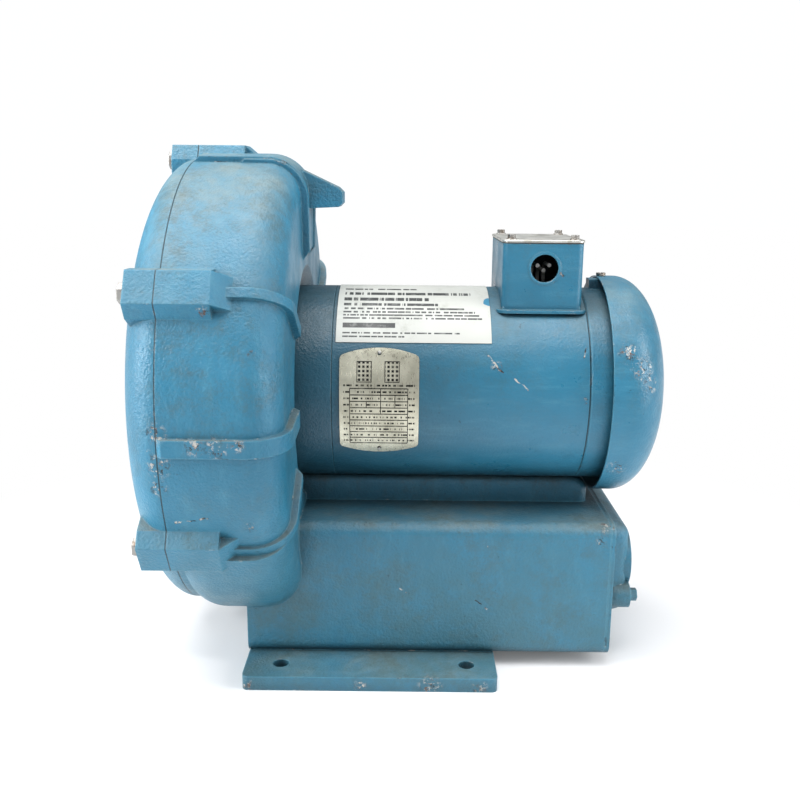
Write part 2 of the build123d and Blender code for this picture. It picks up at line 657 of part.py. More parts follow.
# ---------------------------------------------------------------- bearings
def bearing(name, centre_x, bore, outer, width, count):
    """Deep-groove ball bearing: two grooved rings, the balls and a cage."""
    pitch_radius = (bore + outer) / 2
    ball_radius = (outer - bore) * 0.30
    land = ball_radius * 0.55
    x0 = centre_x - width / 2
    x1 = centre_x + width / 2

    for kind, inner, rim in (
        ("inner_ring", bore + FIT_GAP, pitch_radius - land),
        ("outer_ring", pitch_radius + land, outer - FIT_GAP),
    ):
        with BuildPart() as race:
            with BuildSketch(radial_plane()):
                ring(x0, x1, inner, rim)
                with Locations((centre_x, pitch_radius)):
                    Circle(ball_radius + BALL_GAP, mode=Mode.SUBTRACT)
            revolve(axis=SHAFT_LINE)
        write(race.part, f"{name}_{kind}")

    with BuildPart() as balls:
        with Locations(cross_plane(centre_x)):
            with PolarLocations(pitch_radius, count):
                Sphere(ball_radius)
    write(balls.part, f"{name}_balls")

    with BuildPart() as cage:
        with BuildSketch(radial_plane()):
            ring(x0 + 1, x1 - 1, pitch_radius - land * 0.6, pitch_radius + land * 0.6)
        revolve(axis=SHAFT_LINE)
        with BuildSketch(cross_plane(centre_x)):
            with PolarLocations(pitch_radius, count):
                Circle(ball_radius + BALL_GAP)
        extrude(amount=width, both=True, mode=Mode.SUBTRACT)
        with BuildSketch(radial_plane()):
            ring(x0 + 1, x0 + 1.8, pitch_radius - land * 0.6, pitch_radius + land * 0.6)
        revolve(axis=SHAFT_LINE)
    write(cage.part, f"{name}_cage")


bearing("drive_bearing", DRIVE_BEARING_X, SHAFT_RADIUS, BEARING_OUTER_RADIUS, BEARING_WIDTH, 9)
bearing("fan_bearing", FAN_BEARING_X, FAN_SHAFT_RADIUS, FAN_BEARING_OUTER, FAN_BEARING_WIDTH, 8)


# ---------------------------------------------------------------- motor frame
with BuildPart() as drive_end_bell:
    hub_end = DRIVE_BEARING_X + BEARING_WIDTH / 2
    with BuildSketch(radial_plane()):
        # Face with its register, rim, spigot into the shell, and the bearing hub
        ring(MOTOR_FACE_X - REGISTER_DEPTH, MOTOR_FACE_X + 1, 42, REGISTER_RADIUS)
        ring(MOTOR_FACE_X, MOTOR_FACE_X + BELL_FACE_THICKNESS, SHAFT_RADIUS + 4, MOTOR_RADIUS)
        ring(MOTOR_FACE_X, BELL_SEAM_X, MOTOR_RADIUS - BELL_WALL, MOTOR_RADIUS)
        ring(BELL_SEAM_X - 1, BELL_SEAM_X + 6, SHELL_INNER - SPIGOT_WALL, SHELL_INNER - SOFT_GAP)
        ring(MOTOR_FACE_X + 1, hub_end, BEARING_OUTER_RADIUS, BEARING_OUTER_RADIUS + 8)
    revolve(axis=SHAFT_LINE)
    # Webs from the hub to the rim, and the pads for the long bolts
    with BuildSketch(cross_plane(MOTOR_FACE_X + 2)):
        with PolarLocations((BEARING_OUTER_RADIUS + MOTOR_RADIUS) / 2 + 2, 8, start_angle=22.5):
            Rectangle(MOTOR_RADIUS - BEARING_OUTER_RADIUS - 8, 5)
        with PolarLocations(LONG_BOLT_CIRCLE, 4, start_angle=22.5):
            Circle(7)
    extrude(amount=hub_end - MOTOR_FACE_X - 4)
    with BuildSketch(cross_plane(MOTOR_FACE_X)):
        with PolarLocations(C_FACE_BOLT_CIRCLE / 2, 4, start_angle=45):
            Circle(MOTOR_BOLT_RADIUS + SOFT_GAP)
    extrude(amount=BELL_FACE_THICKNESS + 5, mode=Mode.SUBTRACT)
    with BuildSketch(cross_plane(BELL_SEAM_X + 6)):
        with PolarLocations(LONG_BOLT_CIRCLE, 4, start_angle=22.5):
            Circle(LONG_BOLT_RADIUS + SOFT_GAP)
    extrude(amount=MOTOR_FACE_X + BELL_FACE_THICKNESS - BELL_SEAM_X - 6, mode=Mode.SUBTRACT)
write(drive_end_bell.part, "drive_end_bell")

with BuildPart() as motor_shell:
    with BuildSketch(radial_plane()):
        ring(BELL_SEAM_X, SHELL_END_X, SHELL_INNER, MOTOR_RADIUS)
    revolve(axis=SHAFT_LINE)
    # Lead hole under the conduit box
    with BuildSketch(Plane.XY.offset(AXIS_HEIGHT)):
        with Locations((CONDUIT_MIDDLE_X, 0)):
            Circle(LEAD_HOLE_RADIUS)
    extrude(amount=MOTOR_RADIUS + 2, mode=Mode.SUBTRACT)
write(motor_shell.part, "motor_shell")

with BuildPart() as stator_core:
    with BuildSketch(radial_plane()):
        ring(
            STATOR_CENTRE_X - STATOR_LENGTH / 2,
            STATOR_CENTRE_X + STATOR_LENGTH / 2,
            ROTOR_RADIUS + AIR_GAP,
            SHELL_INNER - SOFT_GAP,
        )
    revolve(axis=SHAFT_LINE)
    with BuildSketch(cross_plane(STATOR_CENTRE_X)):
        with PolarLocations(LONG_BOLT_CIRCLE, 4, start_angle=22.5):
            Circle(LONG_BOLT_RADIUS + 1)
            with Locations((6, 0)):
                Rectangle(12, 2 * LONG_BOLT_RADIUS + 2)
    extrude(amount=STATOR_LENGTH, both=True, mode=Mode.SUBTRACT)
write(stator_core.part, "stator_core")

with BuildPart() as stator_winding:
    for end in (-1, 1):
        edge = STATOR_CENTRE_X + end * STATOR_LENGTH / 2
        with BuildSketch(radial_plane()):
            with Locations((edge + end * WINDING_LENGTH / 2, 58)):
                RectangleRounded(WINDING_LENGTH, 18, 6)
        revolve(axis=SHAFT_LINE)
write(stator_winding.part, "stator_winding")

with BuildPart() as fan_end_bell:
    hub_face = FAN_BEARING_X + FAN_BEARING_WIDTH / 2
    with BuildSketch(radial_plane()):
        with BuildLine():
            Polyline(
                (SHELL_END_X, SHELL_INNER - SPIGOT_WALL),
                (SHELL_END_X, MOTOR_RADIUS),
                (SHELL_END_X + 0.6, MOTOR_RADIUS - 0.8),
                (SHELL_END_X + 1.6, MOTOR_RADIUS),
                (FAN_BELL_RIM_X - 2, MOTOR_RADIUS),
                (FAN_BELL_RIM_X, MOTOR_RADIUS - 2),
                (FAN_BELL_RIM_X, MOTOR_RADIUS - 5),
                (FAN_BELL_END_X, MOTOR_RADIUS - 7),
                (FAN_BELL_END_X, 24),
                (FAN_BELL_END_X - 6, FAN_SHAFT_RADIUS + 3),
                (hub_face + 1.5, FAN_SHAFT_RADIUS + 3),
                (hub_face + 1.5, FAN_BEARING_OUTER),
                (hub_face - FAN_BEARING_WIDTH, FAN_BEARING_OUTER),
                (hub_face - FAN_BEARING_WIDTH, FAN_BEARING_OUTER + 7),
                (FAN_BELL_END_X - 9, FAN_BEARING_OUTER + 9),
                (FAN_BELL_END_X - 9, SHELL_INNER - SPIGOT_WALL),
                close=True,
            )
        make_face()
        ring(SHELL_END_X - 6, SHELL_END_X + 2, SHELL_INNER - SPIGOT_WALL, SHELL_INNER - SOFT_GAP)
    revolve(axis=SHAFT_LINE)
    # Lugs that carry the fan cover
    with BuildSketch(cross_plane(FAN_BELL_END_X - 9)):
        for angle in FAN_COVER_LUG_ANGLES:
            with PolarLocations(FAN_COVER_RADIUS - FAN_COVER_WALL - SOFT_GAP - 6, 1, start_angle=90 + angle):
                Rectangle(12, 14)
    extrude(amount=14)
    with BuildSketch(cross_plane(FAN_BELL_END_X - 9)):
        Circle(FAN_COVER_RADIUS + 20)
        Circle(FAN_COVER_RADIUS - FAN_COVER_WALL - SOFT_GAP, mode=Mode.SUBTRACT)
    extrude(amount=14, mode=Mode.SUBTRACT)
    with BuildSketch(cross_plane(SHELL_END_X - 6)):
        with PolarLocations(LONG_BOLT_CIRCLE, 4, start_angle=22.5):
            Circle(LONG_BOLT_RADIUS + SOFT_GAP)
    extrude(amount=FAN_BELL_END_X - SHELL_END_X + 8, mode=Mode.SUBTRACT)
    # Flat seats for the long bolts' heads
    with BuildSketch(cross_plane(FAN_BELL_END_X - 4)):
        with PolarLocations(LONG_BOLT_CIRCLE, 4, start_angle=22.5):
            Circle(7.5)
    extrude(amount=12, mode=Mode.SUBTRACT)
    # Set screw holes for the fan cover
    for angle in FAN_COVER_LUG_ANGLES:
        with BuildSketch(fan_cover_screw_plane(angle, FAN_COVER_RADIUS - 14)):
            Circle(COVER_SCREW_RADIUS + SOFT_GAP)
        extrude(amount=20, mode=Mode.SUBTRACT)
write(fan_end_bell.part, "fan_end_bell")

with BuildPart() as motor_long_bolts:
    with BuildSketch(cross_plane(FAN_BELL_END_X - 4)):
        with PolarLocations(LONG_BOLT_CIRCLE, 4, start_angle=22.5):
            RegularPolygon(5.2, 6)
    extrude(amount=4)
    with BuildSketch(cross_plane(FAN_BELL_END_X - 4)):
        with PolarLocations(LONG_BOLT_CIRCLE, 4, start_angle=22.5):
            Circle(LONG_BOLT_RADIUS)
    extrude(amount=MOTOR_FACE_X + BELL_FACE_THICKNESS + 1 - FAN_BELL_END_X + 4)
write(motor_long_bolts.part, "motor_long_bolts")

with BuildPart() as bearing_wave_spring:
    with BuildSketch(cross_plane(FAN_BEARING_X + FAN_BEARING_WIDTH / 2)):
        Circle(FAN_BEARING_OUTER - SOFT_GAP)
        Circle(FAN_BEARING_OUTER - 3.5, mode=Mode.SUBTRACT)
    extrude(amount=1.5)
write(bearing_wave_spring.part, "bearing_wave_spring")

with BuildPart() as shaft_seal:
    with BuildSketch(radial_plane()):
        ring(IMPELLER_RIGHT + 3, IMPELLER_RIGHT + 11, SHAFT_RADIUS + 3 + SOFT_GAP, SEAL_RADIUS)
        with Locations((IMPELLER_RIGHT + 11, (SEAL_RADIUS + SHAFT_RADIUS) / 2 + 1.5)):
            Rectangle(8, 3, mode=Mode.SUBTRACT)
    revolve(axis=SHAFT_LINE)
write(shaft_seal.part, "shaft_seal")


# ---------------------------------------------------------------- cooling fan and its cover
with BuildPart() as cooling_fan:
    with BuildSketch(radial_plane()):
        ring(FAN_X, FAN_X + 18, FAN_SHAFT_RADIUS + FIT_GAP, FAN_SHAFT_RADIUS + 6)
        ring(FAN_X, FAN_X + 3, FAN_SHAFT_RADIUS + 5, FAN_RADIUS * 0.62)
    revolve(axis=SHAFT_LINE)
    with BuildSketch(cross_plane(FAN_X + 1)):
        with PolarLocations(FAN_RADIUS / 2 + FAN_SHAFT_RADIUS / 2 + 2, FAN_BLADES, start_angle=90):
            Rectangle(FAN_RADIUS - FAN_SHAFT_RADIUS - 4, 3)
    extrude(amount=18)
write(cooling_fan.part, "cooling_fan")

with BuildPart() as fan_clip:
    with BuildSketch(cross_plane(FAN_X + 18)):
        Circle(FAN_SHAFT_RADIUS + 3)
        Circle(FAN_SHAFT_RADIUS - 1 + FIT_GAP, mode=Mode.SUBTRACT)
        with Locations((0, -FAN_SHAFT_RADIUS - 2)):
            Rectangle(6, 6, mode=Mode.SUBTRACT)
    extrude(amount=1.2)
write(fan_clip.part, "fan_clip")

with BuildPart() as fan_cover:
    with BuildSketch(radial_plane()):
        corner_x = FAN_COVER_END_X - FAN_COVER_CROWN_DEPTH
        corner_r = FAN_COVER_RADIUS - FAN_COVER_CROWN_WIDTH
        inner = FAN_COVER_WALL
        with BuildLine():
            EllipticalCenterArc(
                (corner_x, corner_r),
                FAN_COVER_CROWN_DEPTH,
                FAN_COVER_CROWN_WIDTH,
                start_angle=0,
                arc_size=90,
            )
            Polyline(
                (FAN_COVER_END_X, corner_r),
                (FAN_COVER_END_X, 0),
                (FAN_COVER_END_X - inner, 0),
                (FAN_COVER_END_X - inner, corner_r),
            )
            EllipticalCenterArc(
                (corner_x, corner_r),
                FAN_COVER_CROWN_DEPTH - inner,
                FAN_COVER_CROWN_WIDTH - inner,
                start_angle=0,
                arc_size=90,
            )
            Polyline(
                (corner_x, FAN_COVER_RADIUS - inner),
                (FAN_COVER_START_X, FAN_COVER_RADIUS - inner),
                (FAN_COVER_START_X, FAN_COVER_RADIUS),
                (corner_x, FAN_COVER_RADIUS),
            )
        make_face()
    revolve(axis=SHAFT_LINE)
    # Air intake: rings of slots around a plain centre
    for number in range(GRILLE_RINGS):
        radius = 14 + number * 11
        count = 6 + 3 * number
        bridge = math.degrees(6 / radius)
        sweep_angle = 360 / count - bridge - math.degrees(GRILLE_SLOT_WIDTH / radius)
        with BuildSketch(cross_plane(FAN_COVER_END_X - 8)):
            for turn in range(count):
                SlotArc(CenterArc((0, 0), radius, 90 + turn * 360 / count, sweep_angle), GRILLE_SLOT_WIDTH)
        extrude(amount=10, both=True, mode=Mode.SUBTRACT)
    for angle in FAN_COVER_LUG_ANGLES:
        with BuildSketch(fan_cover_screw_plane(angle, FAN_COVER_RADIUS - 6)):
            Circle(COVER_SCREW_RADIUS + SOFT_GAP)
        extrude(amount=10, mode=Mode.SUBTRACT)
write(fan_cover.part, "fan_cover")

with BuildPart() as fan_cover_screws:
    for angle in FAN_COVER_LUG_ANGLES:
        with BuildSketch(fan_cover_screw_plane(angle, FAN_COVER_RADIUS + 0.3)):
            Circle(4)
        extrude(amount=2.4)
        with BuildSketch(fan_cover_screw_plane(angle, FAN_COVER_RADIUS - 11)):
            Circle(COVER_SCREW_RADIUS)
        extrude(amount=12)
        with BuildSketch(fan_cover_screw_plane(angle, FAN_COVER_RADIUS + 1.7)):
            Rectangle(1.2, 8)
        extrude(amount=2, mode=Mode.SUBTRACT)
write(fan_cover_screws.part, "fan_cover_screws")


# ---------------------------------------------------------------- conduit box on the shell
def conduit_sketch(inset=0.0, mode=Mode.ADD):
    """Rounded plan of the conduit box, on the current horizontal plane."""
    with Locations((CONDUIT_MIDDLE_X, 0)):
        RectangleRounded(
            CONDUIT_END_X - CONDUIT_START_X - 2 * inset,
            2 * CONDUIT_HALF_DEPTH - 2 * inset,
            6 - min(inset, 4),
            mode=mode,
        )


def lid_screw_circles(radius, mode=Mode.ADD):
    """A circle at each of the four corners where the lid is screwed down."""
    with Locations((CONDUIT_MIDDLE_X, 0)):
        with GridLocations(
            CONDUIT_END_X - CONDUIT_START_X - 2 * LID_SCREW_INSET,
            2 * CONDUIT_HALF_DEPTH - 2 * LID_SCREW_INSET,
            2,
            2,
        ):
            Circle(radius, mode=mode)


with BuildPart() as conduit_box:
    box_low = AXIS_HEIGHT + CONDUIT_FLANGE_Z
    box_top = AXIS_HEIGHT + CONDUIT_TOP - LID_THICKNESS - LID_GASKET
    # Walls down to the shell, and the flange around their foot
    with BuildSketch(Plane.XY.offset(box_low)):
        conduit_sketch()
    extrude(amount=box_top - box_low)
    with BuildSketch(Plane.XY.offset(box_low)):
        conduit_sketch(-CONDUIT_FLANGE)
    extrude(amount=CONDUIT_FLANGE * 0.6)
    with BuildSketch(Plane.XY.offset(box_low)):
        conduit_sketch(CONDUIT_WALL)
    extrude(amount=60, mode=Mode.SUBTRACT)
    with BuildSketch(cross_plane(CONDUIT_START_X - 20)):
        Circle(MOTOR_RADIUS + SOFT_GAP)
    extrude(amount=CONDUIT_END_X - CONDUIT_START_X + 40, mode=Mode.SUBTRACT)
    # Floor bent to the shell
    with BuildSketch(cross_plane(CONDUIT_START_X + 1)):
        Circle(MOTOR_RADIUS + SOFT_GAP + CONDUIT_FLOOR)
        Circle(MOTOR_RADIUS + SOFT_GAP, mode=Mode.SUBTRACT)
        with Locations((0, MOTOR_RADIUS)):
            Rectangle(2 * CONDUIT_HALF_DEPTH - 2, 60, mode=Mode.INTERSECT)
    extrude(amount=CONDUIT_END_X - CONDUIT_START_X - 2)
    # Screw posts in the corners
    with BuildSketch(Plane.XY.offset(box_top - 20)):
        lid_screw_circles(LID_SCREW_RADIUS + 3.6)
    extrude(amount=20)
    with BuildSketch(Plane.XY.offset(box_top)):
        lid_screw_circles(LID_SCREW_RADIUS + SOFT_GAP)
    extrude(amount=-16, mode=Mode.SUBTRACT)
    # Pressed ring around the cable entry
    with BuildSketch(Plane.XZ.offset(CONDUIT_HALF_DEPTH - 0.5)):
        with Locations((CONDUIT_MIDDLE_X + 1, AXIS_HEIGHT + KNOCKOUT_Z)):
            Circle(KNOCKOUT_RADIUS + 2.2)
    extrude(amount=1)
    # Cable entry in the front wall, lead hole and the two screw holes in the floor
    with BuildSketch(Plane.XZ.offset(CONDUIT_HALF_DEPTH - 2 * CONDUIT_WALL)):
        with Locations((CONDUIT_MIDDLE_X + 1, AXIS_HEIGHT + KNOCKOUT_Z)):
            Circle(KNOCKOUT_RADIUS)
    extrude(amount=4 * CONDUIT_WALL, mode=Mode.SUBTRACT)
    with BuildSketch(Plane.XY.offset(AXIS_HEIGHT + MOTOR_RADIUS - 10)):
        with Locations((CONDUIT_MIDDLE_X, 0)):
            Circle(LEAD_HOLE_RADIUS)
            with Locations((-22, 0), (22, 0)):
                Circle(LID_SCREW_RADIUS + SOFT_GAP)
    extrude(amount=20, mode=Mode.SUBTRACT)
write(conduit_box.part, "conduit_box")

with BuildPart() as conduit_gasket:
    with BuildSketch(Plane.XY.offset(box_top)):
        conduit_sketch()
        conduit_sketch(CONDUIT_WALL + 1.5, Mode.SUBTRACT)
        lid_screw_circles(LID_SCREW_RADIUS + 3)
        lid_screw_circles(LID_SCREW_RADIUS + SOFT_GAP, Mode.SUBTRACT)
    extrude(amount=LID_GASKET)
write(conduit_gasket.part, "conduit_gasket")

with BuildPart() as conduit_lid:
    with BuildSketch(Plane.XY.offset(box_top + LID_GASKET)):
        conduit_sketch(-0.8)
        lid_screw_circles(LID_SCREW_RADIUS + SOFT_GAP, Mode.SUBTRACT)
    extrude(amount=LID_THICKNESS)
    chamfer(conduit_lid.faces().sort_by(Axis.Z)[-1].outer_wire().edges(), 0.5)
write(conduit_lid.part, "conduit_lid")

with BuildPart() as conduit_lid_screws:
    lid_top = box_top + LID_GASKET + LID_THICKNESS
    with BuildSketch(Plane.XY.offset(lid_top)):
        lid_screw_circles(4.2)
    extrude(amount=0.8)
    with BuildSketch(Plane.XY.offset(lid_top + 0.8)):
        with Locations((CONDUIT_MIDDLE_X, 0)):
            with GridLocations(
                CONDUIT_END_X - CONDUIT_START_X - 2 * LID_SCREW_INSET,
                2 * CONDUIT_HALF_DEPTH - 2 * LID_SCREW_INSET,
                2,
                2,
            ):
                RegularPolygon(3.3, 6)
    extrude(amount=3)
    with BuildSketch(Plane.XY.offset(lid_top)):
        lid_screw_circles(LID_SCREW_RADIUS)
    extrude(amount=-15)
write(conduit_lid_screws.part, "conduit_lid_screws")

with BuildPart() as conduit_box_screws:
    floor_top = AXIS_HEIGHT + MOTOR_RADIUS + SOFT_GAP + CONDUIT_FLOOR
    with BuildSketch(Plane.XY.offset(floor_top)):
        with Locations((CONDUIT_MIDDLE_X, 0)):
            with Locations((-22, 0), (22, 0)):
                Circle(4.2)
    extrude(amount=2.6)
    with BuildSketch(Plane.XY.offset(floor_top)):
        with Locations((CONDUIT_MIDDLE_X, 0)):
            with Locations((-22, 0), (22, 0)):
                Circle(LID_SCREW_RADIUS)
    extrude(amount=-3)
write(conduit_box_screws.part, "conduit_box_screws")

with BuildPart() as lead_grommet:
    with BuildSketch(Plane.XY.offset(floor_top)):
        with Locations((CONDUIT_MIDDLE_X, 0)):
            Circle(LEAD_HOLE_RADIUS + 3)
            Circle(LEAD_HOLE_RADIUS - 4, mode=Mode.SUBTRACT)
    extrude(amount=3)
    with BuildSketch(Plane.XY.offset(floor_top)):
        with Locations((CONDUIT_MIDDLE_X, 0)):
            Circle(LEAD_HOLE_RADIUS - SOFT_GAP)
            Circle(LEAD_HOLE_RADIUS - 4, mode=Mode.SUBTRACT)
    extrude(amount=-10)
write(lead_grommet.part, "lead_grommet")

with BuildPart() as motor_leads:
    for number in range(4):
        spread = number - 1.5
        lead_x = CONDUIT_MIDDLE_X + spread * 5
        bend = 5 + 2 * abs(spread)
        lead_top = AXIS_HEIGHT + KNOCKOUT_Z - 3 + 4 * (number % 2)
        with BuildLine(Plane(origin=(lead_x, 0, 0), x_dir=(0, 1, 0), z_dir=(1, 0, 0))) as lead:
            FilletPolyline(
                (2, AXIS_HEIGHT + 67.3),
                (2, lead_top),
                (-34 + 3 * abs(spread), lead_top),
                radius=bend,
            )
        with BuildSketch(Plane.XY.offset(AXIS_HEIGHT + 67.3)):
            with Locations((lead_x, 2)):
                Circle(1.6)
        sweep(path=lead.wires()[0])
write(motor_leads.part, "motor_leads")


# ---------------------------------------------------------------- plates on the shell
with BuildPart() as rating_plate:
    # Sheet bent round the shell, cut to an outline with arched ends
    with BuildSketch(radial_plane(RATING_PLATE_ANGLE - 40)):
        ring(
            RATING_PLATE_X - RATING_PLATE_WIDTH / 2,
            RATING_PLATE_X + RATING_PLATE_WIDTH / 2,
            MOTOR_RADIUS + SOFT_GAP,
            MOTOR_RADIUS + SOFT_GAP + PLATE_THICKNESS,
        )
    revolve(axis=SHAFT_LINE, revolution_arc=80)
    with BuildSketch(Plane.XZ.offset(MOTOR_RADIUS * 0.3)):
        low = AXIS_HEIGHT - RATING_PLATE_HEIGHT / 2 + RATING_PLATE_DROP
        high = low + RATING_PLATE_HEIGHT
        left = RATING_PLATE_X - RATING_PLATE_WIDTH / 2
        right = RATING_PLATE_X + RATING_PLATE_WIDTH / 2
        with BuildLine():
            Line((left, low + 6), (left, high - 6))
            ThreePointArc((left, high - 6), (RATING_PLATE_X, high), (right, high - 6))
            Line((right, high - 6), (right, low + 6))
            ThreePointArc((right, low + 6), (RATING_PLATE_X, low), (left, low + 6))
        outline = make_face()
        fillet(outline.vertices(), 4)
    extrude(amount=MOTOR_RADIUS, mode=Mode.INTERSECT)
    with BuildSketch(Plane.XZ.offset(MOTOR_RADIUS * 0.3)):
        with Locations((RATING_PLATE_X, low + 4), (RATING_PLATE_X, high - 4)):
            Circle(1.6)
    extrude(amount=MOTOR_RADIUS, mode=Mode.SUBTRACT)
write(rating_plate.part, "rating_plate")

with BuildPart() as rating_plate_pins:
    for height in (low + 4 - AXIS_HEIGHT, high - 4 - AXIS_HEIGHT):
        angle = math.degrees(math.acos(height / MOTOR_RADIUS))
        a = math.radians(angle)
        out = (0, -math.sin(a), math.cos(a))
        start = MOTOR_RADIUS + SOFT_GAP
        spot = (RATING_PLATE_X, start * out[1], AXIS_HEIGHT + start * out[2])
        with BuildSketch(Plane(origin=spot, x_dir=(1, 0, 0), z_dir=out)):
            Circle(1.2)
        extrude(amount=PLATE_THICKNESS + 0.8)
write(rating_plate_pins.part, "rating_plate_pins")

with BuildPart() as data_label:
    with BuildSketch(radial_plane(LABEL_START_ANGLE)):
        ring(
            LABEL_X - LABEL_WIDTH / 2,
            LABEL_X + LABEL_WIDTH / 2,
            MOTOR_RADIUS + SOFT_GAP,
            MOTOR_RADIUS + SOFT_GAP + LABEL_THICKNESS,
        )
    revolve(axis=SHAFT_LINE, revolution_arc=LABEL_SPAN)
write(data_label.part, "data_label")


# ---------------------------------------------------------------- manifold end
def manifold_screw_spots():
    """Screw places down both edges of the box's open end."""
    return Locations(*((side * MANIFOLD_BOLT_Y, z) for side in (-1, 1) for z in MANIFOLD_BOLT_Z))


def chamber_windows(mode=Mode.SUBTRACT):
    """The two chamber mouths at the open end of the box."""
    chamber_width = BOX_HALF_WIDTH - BOX_WALL * 1.5
    for side in (-1, 1):
        with Locations((side * (BOX_WALL / 2 + chamber_width / 2), (BOX_TOP + BOX_BOTTOM) / 2)):
            RectangleRounded(chamber_width, BOX_TOP - BOX_BOTTOM - 2 * BOX_WALL, 6, mode=mode)


with BuildPart() as manifold_gasket:
    with BuildSketch(Plane.YZ.offset(BOX_END_X)):
        with Locations((0, (BOX_TOP + BOX_BOTTOM) / 2)):
            RectangleRounded(2 * BOX_HALF_WIDTH, BOX_TOP - BOX_BOTTOM, BOX_EDGE_RADIUS)
        chamber_windows()
        with manifold_screw_spots():
            Circle(MANIFOLD_BOSS_RADIUS)
        with manifold_screw_spots():
            Circle(MANIFOLD_BOLT_RADIUS + SOFT_GAP, mode=Mode.SUBTRACT)
    extrude(amount=MANIFOLD_GASKET)
write(manifold_gasket.part, "manifold_gasket")

with BuildPart() as manifold_cover:
    with BuildSketch(Plane.YZ.offset(MANIFOLD_X)):
        with Locations((0, (BOX_TOP + BOX_BOTTOM) / 2)):
            RectangleRounded(2 * BOX_HALF_WIDTH, BOX_TOP - BOX_BOTTOM, BOX_EDGE_RADIUS)
    extrude(amount=MANIFOLD_PLATE)
    # Bulge with soft edges
    with BuildSketch(Plane.YZ.offset(MANIFOLD_X + MANIFOLD_PLATE)):
        with Locations((0, (BULGE_TOP + BULGE_LOW) / 2)):
            RectangleRounded(2 * BULGE_HALF_WIDTH, BULGE_TOP - BULGE_LOW, 14)
    extrude(amount=MANIFOLD_BULGE, taper=14)
    fillet(manifold_cover.faces().sort_by(Axis.X)[-1].edges(), 10)
    # Port collars and the long screw's boss
    with BuildSketch(Plane.YZ.offset(MANIFOLD_X + MANIFOLD_PLATE)):
        for side in (-1, 1):
            with Locations((side * PORT_SPACING / 2, PORT_Z)):
                Circle(PORT_BOSS_RADIUS)
    extrude(amount=MANIFOLD_BULGE + 3)
    with BuildSketch(Plane.YZ.offset(MANIFOLD_X + MANIFOLD_PLATE)):
        with Locations((-LONG_BOSS_Y, LONG_BOSS_Z), (LONG_BOSS_Y, LONG_BOSS_Z)):
            Circle(LONG_BOSS_RADIUS)
    extrude(amount=LONG_BOSS_X - MANIFOLD_X - MANIFOLD_PLATE)
    # Hollow behind the bulge, two sides, and the two ports
    with BuildSketch(Plane.YZ.offset(MANIFOLD_X)):
        for side in (-1, 1):
            with Locations((side * (BOX_WALL / 2 + 26), (BULGE_TOP + BULGE_LOW) / 2)):
                RectangleRounded(52, BULGE_TOP - BULGE_LOW - 20, 8)
        for side in (-1, 1):
            with Locations((side * LONG_BOSS_Y, LONG_BOSS_Z)):
                Circle(LONG_BOSS_RADIUS - 2, mode=Mode.SUBTRACT)
    extrude(amount=MANIFOLD_PLATE + MANIFOLD_BULGE - 7, mode=Mode.SUBTRACT)
    with BuildSketch(Plane.YZ.offset(MANIFOLD_X + MANIFOLD_PLATE)):
        for side in (-1, 1):
            with Locations((side * PORT_SPACING / 2, PORT_Z)):
                Circle(PORT_RADIUS)
    extrude(amount=2 * MANIFOLD_BULGE, mode=Mode.SUBTRACT)
    with BuildSketch(Plane.YZ.offset(MANIFOLD_X)):
        with manifold_screw_spots():
            Circle(MANIFOLD_BOLT_RADIUS + SOFT_GAP)
        with Locations((-LONG_BOSS_Y, LONG_BOSS_Z), (LONG_BOSS_Y, LONG_BOSS_Z)):
            Circle(MANIFOLD_BOLT_RADIUS + SOFT_GAP)
    extrude(amount=50, mode=Mode.SUBTRACT)
write(manifold_cover.part, "manifold_cover")


# ---------------------------------------------------------------- screws and foam linings
def hex_screw_head(radius):
    """Flanged hexagon head for a screw of that radius, on the current sketch plane."""
    RegularPolygon(radius * 1.85, 6)


with BuildPart() as manifold_bolts:
    with BuildSketch(Plane.YZ.offset(MANIFOLD_X + MANIFOLD_PLATE)):
        with manifold_screw_spots():
            Circle(MANIFOLD_BOLT_RADIUS * 1.9)
    extrude(amount=2)
    with BuildSketch(Plane.YZ.offset(MANIFOLD_X + MANIFOLD_PLATE)):
        with manifold_screw_spots():
            Circle(MANIFOLD_BOLT_RADIUS)
    extrude(amount=-24)
write(manifold_bolts.part, "manifold_bolts")

with BuildPart() as manifold_long_bolts:
    with BuildSketch(Plane.YZ.offset(LONG_BOSS_X)):
        with Locations((-LONG_BOSS_Y, LONG_BOSS_Z), (LONG_BOSS_Y, LONG_BOSS_Z)):
            Circle(MANIFOLD_BOLT_RADIUS * 2.2)
    extrude(amount=1.6)
    with BuildSketch(Plane.YZ.offset(LONG_BOSS_X + 1.6)):
        with Locations((-LONG_BOSS_Y, LONG_BOSS_Z), (LONG_BOSS_Y, LONG_BOSS_Z)):
            hex_screw_head(MANIFOLD_BOLT_RADIUS)
    extrude(amount=5.4)
    with BuildSketch(Plane.YZ.offset(LONG_BOSS_X)):
        with Locations((-LONG_BOSS_Y, LONG_BOSS_Z), (LONG_BOSS_Y, LONG_BOSS_Z)):
            Circle(MANIFOLD_BOLT_RADIUS)
    extrude(amount=-LONG_BOSS_X + BOX_END_X - 20)
write(manifold_long_bolts.part, "manifold_long_bolts")

with BuildPart() as rim_bolts:
    with BuildSketch(cross_plane(SPLIT_X - COVER_LUG_LENGTH)):
        with PolarLocations(LUG_BOLT_RADIUS, LUG_COUNT, start_angle=90):
            hex_screw_head(RIM_BOLT_RADIUS)
    extrude(amount=-5.5)
    with BuildSketch(cross_plane(SPLIT_X - COVER_LUG_LENGTH)):
        with PolarLocations(LUG_BOLT_RADIUS, LUG_COUNT, start_angle=90):
            Circle(RIM_BOLT_RADIUS)
    extrude(amount=RIM_BOLT_LENGTH)
write(rim_bolts.part, "rim_bolts")

